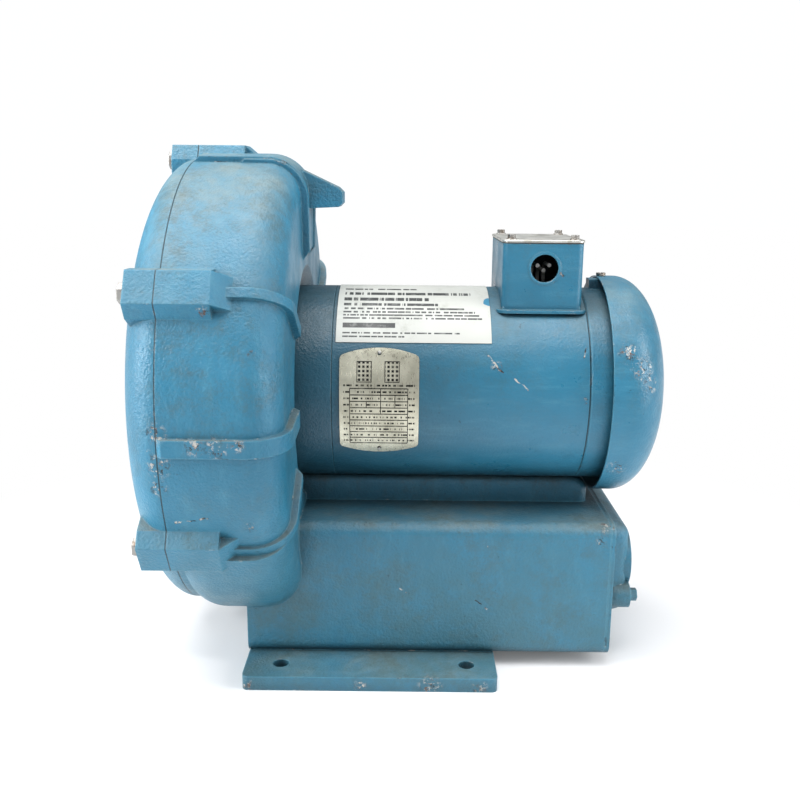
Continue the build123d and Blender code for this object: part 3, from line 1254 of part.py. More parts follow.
with BuildPart() as motor_face_bolts:
    with BuildSketch(cross_plane(IMPELLER_RIGHT + RUNNING_GAP + 2 * MOTOR_BOLT_RADIUS)):
        with PolarLocations(C_FACE_BOLT_CIRCLE / 2, 4, start_angle=45):
            hex_screw_head(MOTOR_BOLT_RADIUS)
    extrude(amount=-6)
    with BuildSketch(cross_plane(IMPELLER_RIGHT + RUNNING_GAP + 2 * MOTOR_BOLT_RADIUS)):
        with PolarLocations(C_FACE_BOLT_CIRCLE / 2, 4, start_angle=45):
            Circle(MOTOR_BOLT_RADIUS)
    extrude(amount=18)
write(motor_face_bolts.part, "motor_face_bolts")

for side, name in ((-1, "front_muffler_foam"), (1, "rear_muffler_foam")):
    chamber_width = BOX_HALF_WIDTH - BOX_WALL * 1.5
    height = BOX_TOP - BOX_BOTTOM - 2 * BOX_WALL
    with BuildPart() as foam:
        with BuildSketch(Plane.YZ.offset(FOAM_START_X)):
            with Locations((side * (BOX_WALL / 2 + chamber_width / 2), (BOX_TOP + BOX_BOTTOM) / 2)):
                RectangleRounded(chamber_width - 2 * SOFT_GAP, height - 2 * SOFT_GAP, 6)
                inner_width = chamber_width - 2 * FOAM_THICKNESS
                RectangleRounded(inner_width, height - 2 * FOAM_THICKNESS, 6, mode=Mode.SUBTRACT)
        extrude(amount=BOX_END_X - 32 - FOAM_START_X)
    write(foam.part, name)
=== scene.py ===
"""Studio scene for the side channel blower: materials, fan cover slots, floor, lights and camera.

Lengths are metres. At rest an object's own coordinates are those of the part's frame, so marks,
printed rows and slots are all placed by position in that frame.
"""

import json
import math

import bmesh
import bpy
from mathutils import Euler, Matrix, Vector


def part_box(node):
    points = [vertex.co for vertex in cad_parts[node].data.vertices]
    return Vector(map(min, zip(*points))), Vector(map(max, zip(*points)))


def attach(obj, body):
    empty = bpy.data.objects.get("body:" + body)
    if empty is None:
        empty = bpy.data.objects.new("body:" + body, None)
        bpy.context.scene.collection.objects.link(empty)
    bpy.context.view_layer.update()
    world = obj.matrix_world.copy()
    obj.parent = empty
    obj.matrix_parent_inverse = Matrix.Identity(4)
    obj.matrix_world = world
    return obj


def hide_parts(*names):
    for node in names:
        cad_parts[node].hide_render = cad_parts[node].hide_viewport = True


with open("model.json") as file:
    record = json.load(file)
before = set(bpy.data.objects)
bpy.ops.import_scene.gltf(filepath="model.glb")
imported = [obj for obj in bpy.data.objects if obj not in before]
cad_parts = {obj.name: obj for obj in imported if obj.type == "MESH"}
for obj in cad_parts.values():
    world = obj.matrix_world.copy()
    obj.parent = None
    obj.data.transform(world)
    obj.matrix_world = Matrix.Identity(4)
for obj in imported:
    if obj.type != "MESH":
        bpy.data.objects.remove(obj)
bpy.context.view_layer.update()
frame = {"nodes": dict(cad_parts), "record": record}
NODES = frame["nodes"]

SHAFT_Z = 0.228  # height of the shaft line
SHELL_RADIUS = 0.0828  # outer radius of the motor shell, where the label sits

# ------------------------------------------------------------------ colours (linear)
TEAL = (0.027, 0.196, 0.320, 1)
TEAL_DEEP = (0.015, 0.136, 0.226, 1)
TEAL_PALE = (0.085, 0.285, 0.390, 1)
# dark teal: painted shade in gaps and the painted shadow on the bell, and also dark specks and joint
# lines
SHADE_AND_GRIME_TEAL = (0.006, 0.026, 0.036, 1)
DUST = (0.235, 0.250, 0.205, 1)
LOW_DARK_GREY = (0.046, 0.125, 0.150, 1)
OIL_FILM = (0.060, 0.075, 0.058, 1)
RUST = (0.120, 0.060, 0.035, 1)
BARE = (0.480, 0.465, 0.430, 1)
SOOT = (0.020, 0.020, 0.020, 1)
PLATE_PALE = (0.60, 0.585, 0.475, 1)
PLATE_STAIN = (0.36, 0.35, 0.275, 1)
PLATE_INK = (0.016, 0.016, 0.016, 1)
LABEL_PALE = (0.50, 0.51, 0.475, 1)
LABEL_STAIN = (0.27, 0.28, 0.23, 1)
LABEL_INK = (0.030, 0.034, 0.034, 1)
LABEL_SMUDGE = (0.03, 0.05, 0.06, 1)
FLOOR_WHITE = (0.90, 0.90, 0.91, 1)
SKY_WHITE = (0.95, 0.97, 1.0, 1)
PLAIN_WHITE = (1, 1, 1, 1)


# ------------------------------------------------------------------ node helpers
class Tree:
    """Short calls for building one material's node tree."""

    def __init__(self, name):
        self.material = bpy.data.materials.new(name)
        self.material.use_nodes = True
        self.nodes = self.material.node_tree.nodes
        self.links = self.material.node_tree.links
        self.shader = self.nodes["Principled BSDF"]
        self.place = self.add("ShaderNodeTexCoord").outputs["Object"]

    def add(self, kind, inputs=None, **settings):
        node = self.nodes.new(kind)
        for key, value in settings.items():
            setattr(node, key, value)
        for key, value in (inputs or {}).items():
            self.set(node.inputs[key], value)
        return node

    def set(self, socket, value):
        """Link another node's output to the socket, or give it a plain value."""
        if isinstance(value, bpy.types.NodeSocket):
            self.links.new(value, socket)
        else:
            socket.default_value = value

    def noise(self, scale, detail=3.0, roughness=0.55, place=None):
        node = self.add(
            "ShaderNodeTexNoise",
            {
                "Vector": place or self.place,
                "Scale": scale,
                "Detail": detail,
                "Roughness": roughness,
            },
        )
        return node.outputs["Fac"]

    def ramp(self, value, low, high, to_low=0.0, to_high=1.0):
        """Smooth step from to_low to to_high while value goes from low to high."""
        node = self.add(
            "ShaderNodeMapRange",
            {
                "Value": value,
                "From Min": low,
                "From Max": high,
                "To Min": to_low,
                "To Max": to_high,
            },
            interpolation_type="SMOOTHSTEP",
        )
        return node.outputs["Result"]

    def patches(
        self, scale, detail, low, high, to_low=0.0, to_high=1.0, roughness=0.55, place=None
    ):
        """Noise sharpened by a ramp: to_high in its patches, to_low between them."""
        return self.ramp(self.noise(scale, detail, roughness, place), low, high, to_low, to_high)

    def math(self, operation, a, b=0.0, clamp=False):
        node = self.add("ShaderNodeMath", {0: a, 1: b}, operation=operation, use_clamp=clamp)
        return node.outputs[0]

    def times(self, a, b):
        return self.math("MULTIPLY", a, b)

    def vector(self, operation, a, b):
        """Vector math that gives a vector."""
        return self.add("ShaderNodeVectorMath", {0: a, 1: b}, operation=operation).outputs["Vector"]

    def measure(self, operation, a, b):
        """Vector math that gives a number."""
        return self.add("ShaderNodeVectorMath", {0: a, 1: b}, operation=operation).outputs["Value"]

    def scaled(self, vector, factor):
        node = self.add("ShaderNodeVectorMath", {0: vector, "Scale": factor}, operation="SCALE")
        return node.outputs["Vector"]

    def stretched(self, x, y, z):
        return self.vector("MULTIPLY", self.place, (x, y, z))

    def split(self, vector):
        return self.add("ShaderNodeSeparateXYZ", {"Vector": vector}).outputs

    def mix(self, factor, a, b):
        node = self.add("ShaderNodeMix", data_type="RGBA")
        self.set(node.inputs["Factor"], factor)
        self.set(node.inputs["A"], a)
        self.set(node.inputs["B"], b)
        return node.outputs["Result"]

    def rounded_normal(self, radius):
        return self.add("ShaderNodeBevel", {"Radius": radius}, samples=6).outputs["Normal"]

    def edge_mask(self, radius, low=0.02, high=0.16):
        """1 on outer and inner edges, 0 on flat stretches."""
        flat = self.add("ShaderNodeNewGeometry").outputs["Normal"]
        likeness = self.measure("DOT_PRODUCT", self.rounded_normal(radius), flat)
        return self.ramp(self.math("SUBTRACT", 1.0, likeness), low, high)

    def bump(self, height, strength, distance, normal=None):
        node = self.add(
            "ShaderNodeBump", {"Height": height, "Strength": strength, "Distance": distance}
        )
        if normal is not None:
            self.set(node.inputs["Normal"], normal)
        return node.outputs["Normal"]

    def finish(self, **inputs):
        """Set the shader's inputs, named with underscores for spaces, and give the material."""
        for key, value in inputs.items():
            self.set(self.shader.inputs[key.replace("_", " ")], value)
        return self.material


# ------------------------------------------------------------------ masks
NOISE_MIDDLE = (0.5, 0.5, 0.5)
SPOT_CORE = 0.25  # share of a mark's reach inside which it is full
SCRATCH_HALF = 0.0009
SCRATCH_WAVER = 0.006


def stripe(t, value, centre, half):
    """1 where value is within half of centre."""
    return t.math("LESS_THAN", t.math("ABSOLUTE", t.math("SUBTRACT", value, centre)), half)


def any_of(t, masks):
    """The largest of the masks at each point."""
    total = masks[0]
    for mask in masks[1:]:
        total = t.math("MAXIMUM", total, mask)
    return total


def near_spots(t, spots):
    """1 at the listed marks, each a centre and a reach, fading outward."""
    masks = []
    for x, y, z, reach in spots:
        away = t.measure("DISTANCE", t.place, (x, y, z))
        masks.append(t.ramp(away, reach, reach * SPOT_CORE))
    return any_of(t, masks)


def scratch_lines(t, segments):
    """1 on broken, wavering lines between the listed ends."""
    wave = t.add("ShaderNodeTexNoise", {"Vector": t.place, "Scale": 90, "Detail": 3})
    shift = t.scaled(t.vector("SUBTRACT", wave.outputs["Color"], NOISE_MIDDLE), SCRATCH_WAVER)
    place = t.vector("ADD", t.place, shift)
    masks = []
    for start, end in segments:
        along = Vector(end) - Vector(start)
        reach = t.vector("SUBTRACT", place, start)
        share = t.measure("DOT_PRODUCT", reach, tuple(along / along.length_squared))
        foot = t.scaled(tuple(along), t.math("ADD", share, 0.0, clamp=True))
        away = t.measure("DISTANCE", reach, foot)
        masks.append(t.ramp(away, SCRATCH_HALF, SCRATCH_HALF * 0.5))
    return t.times(any_of(t, masks), t.patches(240, 3, 0.40, 0.5))


def share_of(t, value, low, high):
    """How far value has come from low to high, as a share."""
    return t.math("DIVIDE", t.math("SUBTRACT", value, low), high - low)


def dashes(t, fineness, gaps, row):
    """Broken runs along X that differ from row to row; more gaps leave less of a run."""
    place = t.vector("ADD", t.stretched(fineness, 0, 0), (0, 7.3 * row, 0))
    return t.math("GREATER_THAN", t.noise(1.0, 1, 0.5, place), gaps)


# ------------------------------------------------------------------ worn paint and painted shade
EDGE_RADIUS = 0.0022  # how far in from an edge the paint is rubbed and the painted edge highlight reaches
CORNER_RADIUS = 0.0016  # how far corners are shaded round
GRAIN_HEIGHT = 0.0020
SEAM_HALF = 0.0005

# Marks on the castings and on the motor, each a centre and a reach, and scratches between two ends
CAST_MARKS = (
    (-0.1472, -0.1869, 0.2280, 0.010),
    (-0.1465, -0.1850, 0.2050, 0.012),
    (-0.1480, -0.1820, 0.1880, 0.009),
    (-0.1510, -0.1830, 0.2130, 0.006),
    (-0.1200, -0.1908, 0.2205, 0.009),
    (-0.1050, -0.1909, 0.2195, 0.011),
    (-0.0900, -0.1893, 0.2215, 0.007),
    (-0.0816, -0.1780, 0.2830, 0.004),
    (-0.1140, -0.1740, 0.3100, 0.007),
    (-0.0859, -0.1722, 0.1553, 0.006),
    (0.1904, -0.0800, 0.1230, 0.009),
    (0.1850, -0.0859, 0.1130, 0.006),
    (-0.0101, -0.1270, 0.0047, 0.007),
    (0.0458, -0.1270, 0.0053, 0.012),
    (0.0857, -0.1270, 0.0040, 0.008),
    (-0.1000, -0.1264, 0.0033, 0.008),
)
CAST_SCRATCHES = (
    ((-0.1390, -0.1745, 0.1590), (-0.1150, -0.1755, 0.1640)),
    ((0.0974, -0.0826, 0.1229), (0.0920, -0.0860, 0.1080)),
    ((0.0833, -0.0860, 0.0607), (0.0943, -0.0860, 0.0527)),
    ((0.0208, -0.0860, 0.0700), (0.0260, -0.0860, 0.0660)),
)
MOTOR_MARKS = (
    (0.1980, -0.0835, 0.2690, 0.011),
    (0.2090, -0.0850, 0.2560, 0.013),
    (0.2150, -0.0850, 0.2440, 0.011),
    (0.1950, -0.0739, 0.1730, 0.011),
    (0.1490, -0.0490, 0.3270, 0.004),
    (0.0960, -0.0775, 0.2560, 0.006),
    (0.1660, -0.0825, 0.2300, 0.004),
)
MOTOR_SCRATCHES = (
    ((0.0889, -0.0746, 0.2632), (0.1007, -0.0791, 0.2514)),
    ((0.1109, -0.0803, 0.2469), (0.1206, -0.0819, 0.2376)),
    ((0.1650, -0.0740, 0.2630), (0.1668, -0.0700, 0.2700)),
)


def add_grime_and_painted_shade(t, colour, dirt, painted_shade_reach):
    """Colour under dust on what faces up, a greyer, darker tone low down, oil, specks, and painted
    shade in gaps and corners.

    Also gives the mask of the settled dust.
    """
    up = t.split(t.add("ShaderNodeNewGeometry").outputs["Normal"])["Z"]
    settled = t.times(t.ramp(up, 0.25, 0.95), t.patches(9, 8, 0.36, 0.66, 0.2, 1.0, 0.78))
    colour = t.mix(t.times(settled, dirt), colour, DUST)
    # greyer and darker towards the bottom
    low_down = t.ramp(t.split(t.place)["Z"], 0.22, 0.02)
    film = t.times(low_down, t.patches(12, 7, 0.32, 0.62, 0.15, 0.7, 0.8))
    colour = t.mix(film, colour, LOW_DARK_GREY)
    oily = t.times(t.patches(19, 9, 0.46, 0.66, 0.0, 0.8, 0.85), t.ramp(up, -0.4, 0.5, 0.35, 1.0))
    colour = t.mix(t.times(oily, dirt), colour, OIL_FILM)
    specks = t.times(t.patches(300, 3, 0.66, 0.72), t.patches(16, 4, 0.5, 0.65, 0.0, 0.5))
    colour = t.mix(specks, colour, SHADE_AND_GRIME_TEAL)
    # painted shade: darker wherever another surface is near, in gaps, corners and beside other parts
    closed = t.add("ShaderNodeAmbientOcclusion", {"Distance": painted_shade_reach}, samples=4).outputs["AO"]
    colour = t.mix(t.ramp(closed, 0.75, 0.25, 0.0, 0.75), colour, SHADE_AND_GRIME_TEAL)
    return colour, settled


def add_wear(t, colour, edge_wear, spots, scratches):
    """Colour painted pale along edges, both rubbed paint and a painted edge highlight, rubbed off in
    places, chipped at the spots and scratched.

    Also gives the mask of what is bare.
    """
    edge = t.edge_mask(EDGE_RADIUS)
    # paler along every edge, inner and outer: partly rubbed paint, partly a painted edge highlight
    colour = t.mix(t.times(edge, 0.55), colour, TEAL_PALE)
    rubbed = t.times(edge, t.patches(60, 6, 0.55, 0.62, 0.0, edge_wear, 0.75))
    chips = t.times(near_spots(t, spots), t.patches(290, 6, 0.52, 0.56, roughness=0.8))
    bare = any_of(t, [rubbed, chips, scratch_lines(t, scratches)])
    under = t.mix(t.patches(150, 4, 0.42, 0.52), RUST, BARE)
    under = t.mix(t.patches(130, 4, 0.50, 0.56), under, SOOT)
    return t.mix(bare, colour, under), bare


def paint(
    name, grain, edge_wear, dirt, rough, painted_shade_reach, streak, spots, scratches, seams, bell_painted_shadow=None
):
    """Worn teal paint, with painted shade in gaps and corners.

    hollow is how far off another surface may be and still darken this one with painted shade,
    streak how fine the pale streaks are along each axis, and seams the X of each dark joint line.
    sooty gives two X limits and the most painted shadow, which is reached at the first limit.
    """
    t = Tree(name)
    along_x = t.split(t.place)["X"]
    colour = t.mix(t.patches(5, 3, 0.32, 0.68), TEAL_DEEP, TEAL)
    streaks = t.patches(1.0, 6, 0.45, 0.8, 0.0, 0.4, 0.75, t.stretched(*streak))
    colour = t.mix(streaks, colour, TEAL_PALE)
    colour, settled = add_grime_and_painted_shade(t, colour, dirt, painted_shade_reach)
    # painted shadow of the casing on the motor: darkest at the first X limit, gone at the second
    if bell_painted_shadow:
        start, end, most = bell_painted_shadow
        colour = t.mix(t.ramp(along_x, end, start, 0.0, most), colour, SHADE_AND_GRIME_TEAL)
    colour, bare = add_wear(t, colour, edge_wear, spots, scratches)
    joints = any_of(t, [stripe(t, along_x, seam, SEAM_HALF) for seam in seams])
    colour = t.mix(t.times(joints, 0.85), colour, SHADE_AND_GRIME_TEAL)

    roughness = t.patches(45, 4, 0.3, 0.7, rough - 0.06, rough + 0.1)
    roughness = t.math("ADD", roughness, t.times(settled, 0.2), clamp=True)
    height = t.math("ADD", t.noise(480, 3, 0.6), t.times(t.noise(150, 3), 0.45))
    height = t.math("SUBTRACT", height, t.times(bare, 0.6))
    normal = t.bump(height, grain, GRAIN_HEIGHT, t.rounded_normal(CORNER_RADIUS))
    shine = t.times(bare, 0.3)
    return t.finish(Base_Color=colour, Roughness=roughness, Normal=normal, Metallic=shine)


# ------------------------------------------------------------------ plain materials
def metal(name, colour, dark, rough, scale=60, metallic=1.0, grain=0.15):
    """Plain metal with stained colour, uneven shine and a fine grain."""
    t = Tree(name)
    tone = t.mix(t.patches(scale, 5, 0.42, 0.7, roughness=0.65), colour, dark)
    roughness = t.patches(scale * 1.7, 4, 0.3, 0.7, rough - 0.08, rough + 0.14)
    normal = t.bump(t.noise(scale * 9, 3), grain, 0.0005, t.rounded_normal(0.0006))
    return t.finish(Base_Color=tone, Roughness=roughness, Metallic=metallic, Normal=normal)


def soft(name, colour, dark, rough, scale=80, grain=0.3):
    """Rubber, plastic or foam."""
    t = Tree(name)
    tone = t.mix(t.patches(scale, 5, 0.4, 0.7), colour, dark)
    roughness = t.patches(scale * 2, 3, 0.3, 0.7, rough - 0.05, rough + 0.1)
    normal = t.bump(t.noise(scale * 7, 3), grain, 0.0006)
    return t.finish(Base_Color=tone, Roughness=roughness, Normal=normal)


# ------------------------------------------------------------------ rating plate
# Places on the plate are shares of its length (X) and of its height (Z); spans are middle, half
PLATE_WHOLE = (0.5, 0.45)
PLATE_GRID = (0.495, 0.365)
PLATE_RULE_HALF = 0.005
PLATE_ROWS = (0.10, 0.16, 0.22, 0.28, 0.34, 0.40, 0.46, 0.52, 0.58, 0.64)
PLATE_COLUMNS = (  # place along the plate, lower end, upper end
    (0.13, 0.10, 0.64),
    (0.86, 0.10, 0.64),
    (0.52, 0.40, 0.64),
    (0.70, 0.46, 0.58),
    (0.34, 0.46, 0.52),
)
DASH_LIFT = 0.028  # broken lines above each rule
DASH_HALF = 0.0085
BLOCK_CENTRES = (0.31, 0.66)
BLOCK_Z = 0.79
BLOCK_HALF = 0.095
DOTS_HALF_X = 0.085
DOTS_HALF_Z = 0.087
DOTS_PER_LENGTH = 19.0
DOTS_PER_HEIGHT = 26.0
DOT_GAP = 0.42


def dot_block(t, x, z, centre):
    """A bordered block filled with a plain grid of dots."""
    block = t.times(stripe(t, x, centre, BLOCK_HALF), stripe(t, z, BLOCK_Z, BLOCK_HALF))
    core = t.times(stripe(t, x, centre, DOTS_HALF_X), stripe(t, z, BLOCK_Z, DOTS_HALF_Z))
    dots_x = t.math("GREATER_THAN", t.math("FRACT", t.times(x, DOTS_PER_LENGTH)), DOT_GAP)
    dots_z = t.math("GREATER_THAN", t.math("FRACT", t.times(z, DOTS_PER_HEIGHT)), DOT_GAP)
    dots = t.times(t.times(dots_x, dots_z), core)
    return t.math("MAXIMUM", t.math("SUBTRACT", block, core), dots)


def rating_plate_material():
    """Etched sheet with a ruled grid, plain broken lines and two blocks of dots."""
    t = Tree("rating_plate_etched")
    low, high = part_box("rating_plate")
    axes = t.split(t.place)
    x = share_of(t, axes["X"], low[0], high[0])
    z = share_of(t, axes["Z"], low[2], high[2])
    inside = stripe(t, x, *PLATE_GRID)
    sides = t.math("SUBTRACT", stripe(t, x, *PLATE_WHOLE), inside)
    lines = []
    for number, row in enumerate(PLATE_ROWS):
        lines.append(t.times(stripe(t, z, row, PLATE_RULE_HALF), inside))
        broken = t.math(
            "ADD",
            t.times(inside, dashes(t, 600, 0.52, number)),
            t.times(sides, dashes(t, 900, 0.46, number)),
        )
        lines.append(t.times(stripe(t, z, row + DASH_LIFT, DASH_HALF), broken))
    for column, bottom, top in PLATE_COLUMNS:
        within = stripe(t, z, (bottom + top) / 2, (top - bottom) / 2)
        lines.append(t.times(stripe(t, x, column, PLATE_RULE_HALF), within))
    lines += [dot_block(t, x, z, centre) for centre in BLOCK_CENTRES]
    ink = t.times(any_of(t, lines), t.patches(160, 4, 0.3, 0.5, 0.75, 1.0))
    brushed = t.noise(1.0, 4, place=t.stretched(900, 900, 25))
    sheet = t.mix(t.patches(35, 5, 0.4, 0.7), PLATE_PALE, PLATE_STAIN)
    return t.finish(
        Base_Color=t.mix(ink, sheet, PLATE_INK),
        Roughness=t.ramp(brushed, 0.3, 0.7, 0.24, 0.42),
        Metallic=0.85,
        Normal=t.bump(brushed, 0.2, 0.0003),
    )


# ------------------------------------------------------------------ label
LABEL_LOW_ANGLE = 57.0  # degrees from straight up, at the label's lower edge

# Rows of the label: way round the shell from its lower edge, half width, and the row's start and
# end as shares of the label's length
LABEL_ROWS = (
    (0.0051, 0.0007, 0.04, 0.44),
    (0.0084, 0.0007, 0.04, 0.80),
    (0.0228, 0.0009, 0.04, 0.95),
    (0.0262, 0.0009, 0.04, 0.93),
    (0.0297, 0.0010, 0.04, 0.90),
    (0.0337, 0.0011, 0.04, 0.84),
    (0.0390, 0.0017, 0.04, 0.66),
    (0.0465, 0.0024, 0.04, 0.60),
    (0.0560, 0.0024, 0.04, 0.88),
    (0.0660, 0.0016, 0.04, 0.52),
)
LABEL_BAR = (0.0156, 0.0024, 0.04, 0.38)
LABEL_MARKS = ((0.0747, -0.0761, 0.2590, 0.007), (0.0880, -0.0770, 0.2580, 0.005))
LABEL_TORN = (0.0925, -0.0370, 0.3020)  # where a piece near the end is torn off
TORN_REACH = 0.0075
TORN_RAGGED = 0.004


def label_row(t, way, x, row):
    """1 inside one row, which lies way round the shell and x along the label."""
    height, half, start, end = row
    return t.times(stripe(t, way, height, half), stripe(t, x, (start + end) / 2, (end - start) / 2))


def label_material():
    """Scuffed white film: broken grey lines and a plain bar in place of any print."""
    t = Tree("label_film_white")
    low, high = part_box("data_label")
    axes = t.split(t.place)
    x = share_of(t, axes["X"], low[0], high[0])
    out = t.times(axes["Y"], -1.0)
    angle = t.math("ARCTAN2", out, t.math("SUBTRACT", axes["Z"], SHAFT_Z))
    way = t.times(t.math("SUBTRACT", math.radians(LABEL_LOW_ANGLE), angle), SHELL_RADIUS)
    rows = [
        t.times(label_row(t, way, x, row), dashes(t, 380, 0.42, number))
        for number, row in enumerate(LABEL_ROWS)
    ]
    printed = any_of(t, rows + [label_row(t, way, x, LABEL_BAR)])
    ink = t.times(printed, t.patches(210, 4, 0.32, 0.5, 0.75, 1.0))
    film = t.mix(t.patches(34, 7, 0.52, 0.72, 0.0, 0.55, 0.8), LABEL_PALE, LABEL_STAIN)
    colour = t.mix(ink, film, LABEL_INK)
    smudges = t.times(near_spots(t, LABEL_MARKS), t.patches(260, 4, 0.52, 0.58))
    colour = t.mix(smudges, colour, LABEL_SMUDGE)
    away = t.measure("DISTANCE", t.place, LABEL_TORN)
    ragged = t.math("ADD", away, t.times(t.noise(160, 3), TORN_RAGGED))
    return t.finish(
        Base_Color=t.mix(t.math("LESS_THAN", ragged, TORN_REACH), colour, TEAL),
        Roughness=t.patches(60, 4, 0.3, 0.7, 0.35, 0.55),
        Normal=t.bump(t.noise(240, 3), 0.08, 0.0004),
    )


# ------------------------------------------------------------------ materials by slot
MATERIALS = {
    "cast_paint": paint(
        "cast_paint_worn_painted_shade",
        grain=0.5,
        edge_wear=0.8,
        dirt=0.7,
        rough=0.36,
        painted_shade_reach=0.030,
        streak=(70, 70, 24),
        spots=CAST_MARKS,
        scratches=CAST_SCRATCHES,
        seams=(-0.147,),
    ),
    "motor_paint": paint(
        "motor_paint_worn_painted_shade",
        grain=0.25,
        edge_wear=0.6,
        dirt=0.4,
        rough=0.33,
        # a wide reach, so the bell and the shell beside the casing and base get painted shade
        painted_shade_reach=0.110,
        streak=(22, 120, 120),
        spots=MOTOR_MARKS,
        scratches=MOTOR_SCRATCHES,
        seams=(-0.035, 0.170),
        # painted shadow of the casing over the bell and the shell beside it, fading towards the fan
        # end
        bell_painted_shadow=(-0.075, 0.185, 0.55),
    ),
    "zinc_sheet": metal("zinc_sheet_dull", (0.70, 0.70, 0.66, 1), (0.42, 0.41, 0.36, 1), 0.42),
    "steel": metal("steel_turned", (0.50, 0.50, 0.49, 1), (0.34, 0.33, 0.31, 1), 0.32),
    "screw_steel": metal(
        "screw_steel_dull", (0.46, 0.45, 0.43, 1), (0.20, 0.15, 0.11, 1), 0.42, scale=140
    ),
    "bearing_steel": metal(
        "bearing_steel_ground", (0.62, 0.62, 0.63, 1), (0.5, 0.5, 0.5, 1), 0.16, scale=90, grain=0.04
    ),
    "cage_brass": metal("cage_brass_stamped", (0.55, 0.38, 0.14, 1), (0.36, 0.24, 0.09, 1), 0.32),
    "cast_aluminium": metal(
        "cast_aluminium_raw", (0.52, 0.53, 0.53, 1), (0.32, 0.32, 0.31, 1), 0.45, scale=70, grain=0.5
    ),
    "lamination_steel": metal(
        "lamination_dark", (0.16, 0.16, 0.165, 1), (0.08, 0.075, 0.07, 1), 0.5, scale=90, metallic=0.8
    ),
    "winding_copper": metal(
        "winding_varnished",
        (0.32, 0.10, 0.04, 1),
        (0.18, 0.06, 0.03, 1),
        0.4,
        scale=260,
        metallic=0.5,
        grain=0.9,
    ),
    "seal_rubber": soft("seal_rubber_black", (0.022, 0.022, 0.022, 1), (0.045, 0.043, 0.04, 1), 0.6),
    "fan_plastic": soft("fan_plastic_black", (0.025, 0.025, 0.027, 1), (0.05, 0.048, 0.045, 1), 0.5),
    "gasket_sheet": soft("gasket_sheet_dark", (0.05, 0.045, 0.04, 1), (0.09, 0.08, 0.07, 1), 0.75),
    "lead_insulation": soft(
        "lead_insulation_pale", (0.78, 0.79, 0.77, 1), (0.34, 0.33, 0.29, 1), 0.4
    ),
    "muffler_foam": soft(
        "muffler_foam_grey", (0.09, 0.09, 0.095, 1), (0.04, 0.04, 0.04, 1), 0.9, scale=120, grain=1.0
    ),
    "aluminium_plate": rating_plate_material(),
    "label_film": label_material(),
}
for entry in frame["record"]["subparts"]:
    node = NODES[entry["node"]]
    node.data.materials.clear()
    node.data.materials.append(MATERIALS[entry["material_slot"]])


# ------------------------------------------------------------------ fan cover with its air slots
SLOT_RINGS = ((0.016, 5), (0.029, 8), (0.042, 11), (0.055, 14))  # radius, slots round it
SLOT_HALF = 0.0032
SLOT_BRIDGE = 0.007  # metal left between two slots' ends
ARC_STEPS = 10
CUT_START_X = 0.205
CUT_LENGTH = 0.05
WELD_DISTANCE = 0.00001
SHARP_ANGLE = 35  # degrees


def arc(centre, radius, start, sweep, steps):
    """Points (y, z) on a circle, at the given steps of the sweep from the start angle."""
    angles = [start + sweep * step / ARC_STEPS for step in steps]
    return [
        (centre[0] + radius * math.cos(angle), centre[1] + radius * math.sin(angle))
        for angle in angles
    ]


def slot_outline(radius, middle, half_angle):
    """Points (y, z from the shaft line) round one curved slot with round ends."""
    first = middle - half_angle
    last = middle + half_angle
    first_centre = (radius * math.cos(first), radius * math.sin(first))
    last_centre = (radius * math.cos(last), radius * math.sin(last))
    whole = range(ARC_STEPS + 1)
    between = range(1, ARC_STEPS)
    outer = arc((0, 0), radius + SLOT_HALF, first, 2 * half_angle, whole)
    last_end = arc(last_centre, SLOT_HALF, last, math.pi, between)
    inner = arc((0, 0), radius - SLOT_HALF, last, -2 * half_angle, whole)
    first_end = arc(first_centre, SLOT_HALF, first + math.pi, math.pi, between)
    return outer + last_end + inner + first_end


def slot_cutters():
    """One object holding a bar along X for every slot."""
    mesh = bmesh.new()
    for radius, count in SLOT_RINGS:
        half_angle = math.pi / count - (SLOT_BRIDGE / 2 + SLOT_HALF) / radius
        for number in range(count):
            outline = slot_outline(radius, 2 * math.pi * number / count, half_angle)
            corners = [mesh.verts.new((CUT_START_X, y, SHAFT_Z + z)) for y, z in outline]
            face = mesh.faces.new(corners)
            grown = bmesh.ops.extrude_face_region(mesh, geom=[face])["geom"]
            tips = [item for item in grown if isinstance(item, bmesh.types.BMVert)]
            bmesh.ops.translate(mesh, verts=tips, vec=(CUT_LENGTH, 0, 0))
    bmesh.ops.recalc_face_normals(mesh, faces=mesh.faces)
    data = bpy.data.meshes.new("slot_cutters")
    mesh.to_mesh(data)
    mesh.free()
    cutter = bpy.data.objects.new("slot_cutters", data)
    bpy.context.scene.collection.objects.link(cutter)
    return cutter


def slotted_fan_cover():
    """The fan cover's own mesh with rings of slots cut through its crown."""
    plain = NODES["fan_cover"]
    body = bmesh.new()
    body.from_mesh(plain.data)
    body.transform(plain.matrix_world)
    bmesh.ops.remove_doubles(body, verts=body.verts, dist=WELD_DISTANCE)
    data = bpy.data.meshes.new("fan_cover_slotted")
    body.to_mesh(data)
    body.free()
    piece = bpy.data.objects.new("fan_cover_slotted", data)
    bpy.context.scene.collection.objects.link(piece)
    cutter = slot_cutters()
    cut = piece.modifiers.new("slots", "BOOLEAN")
    cut.object = cutter
    cut.operation = "DIFFERENCE"
    cut.solver = "EXACT"
    bpy.context.view_layer.update()
    cut_piece = piece.evaluated_get(bpy.context.evaluated_depsgraph_get())
    result = bpy.data.meshes.new_from_object(cut_piece)
    piece.modifiers.clear()
    piece.data = result
    bpy.data.objects.remove(cutter)
    result.shade_smooth()
    result.set_sharp_from_angle(angle=math.radians(SHARP_ANGLE))
    result.materials.clear()
    result.materials.append(MATERIALS["motor_paint"])
    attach(piece, "casing_and_motor")
    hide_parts("fan_cover")


slotted_fan_cover()

# ------------------------------------------------------------------ floor
FLOOR_HALF = 9.0
SHADOW_CENTRE = (0.03, 0, 0)
SHADOW_NEAR = 0.16  # the floor starts to fade to plain white here
SHADOW_FAR = 0.62  # and is plain white from here on
NEAR_GLOW = 0.10


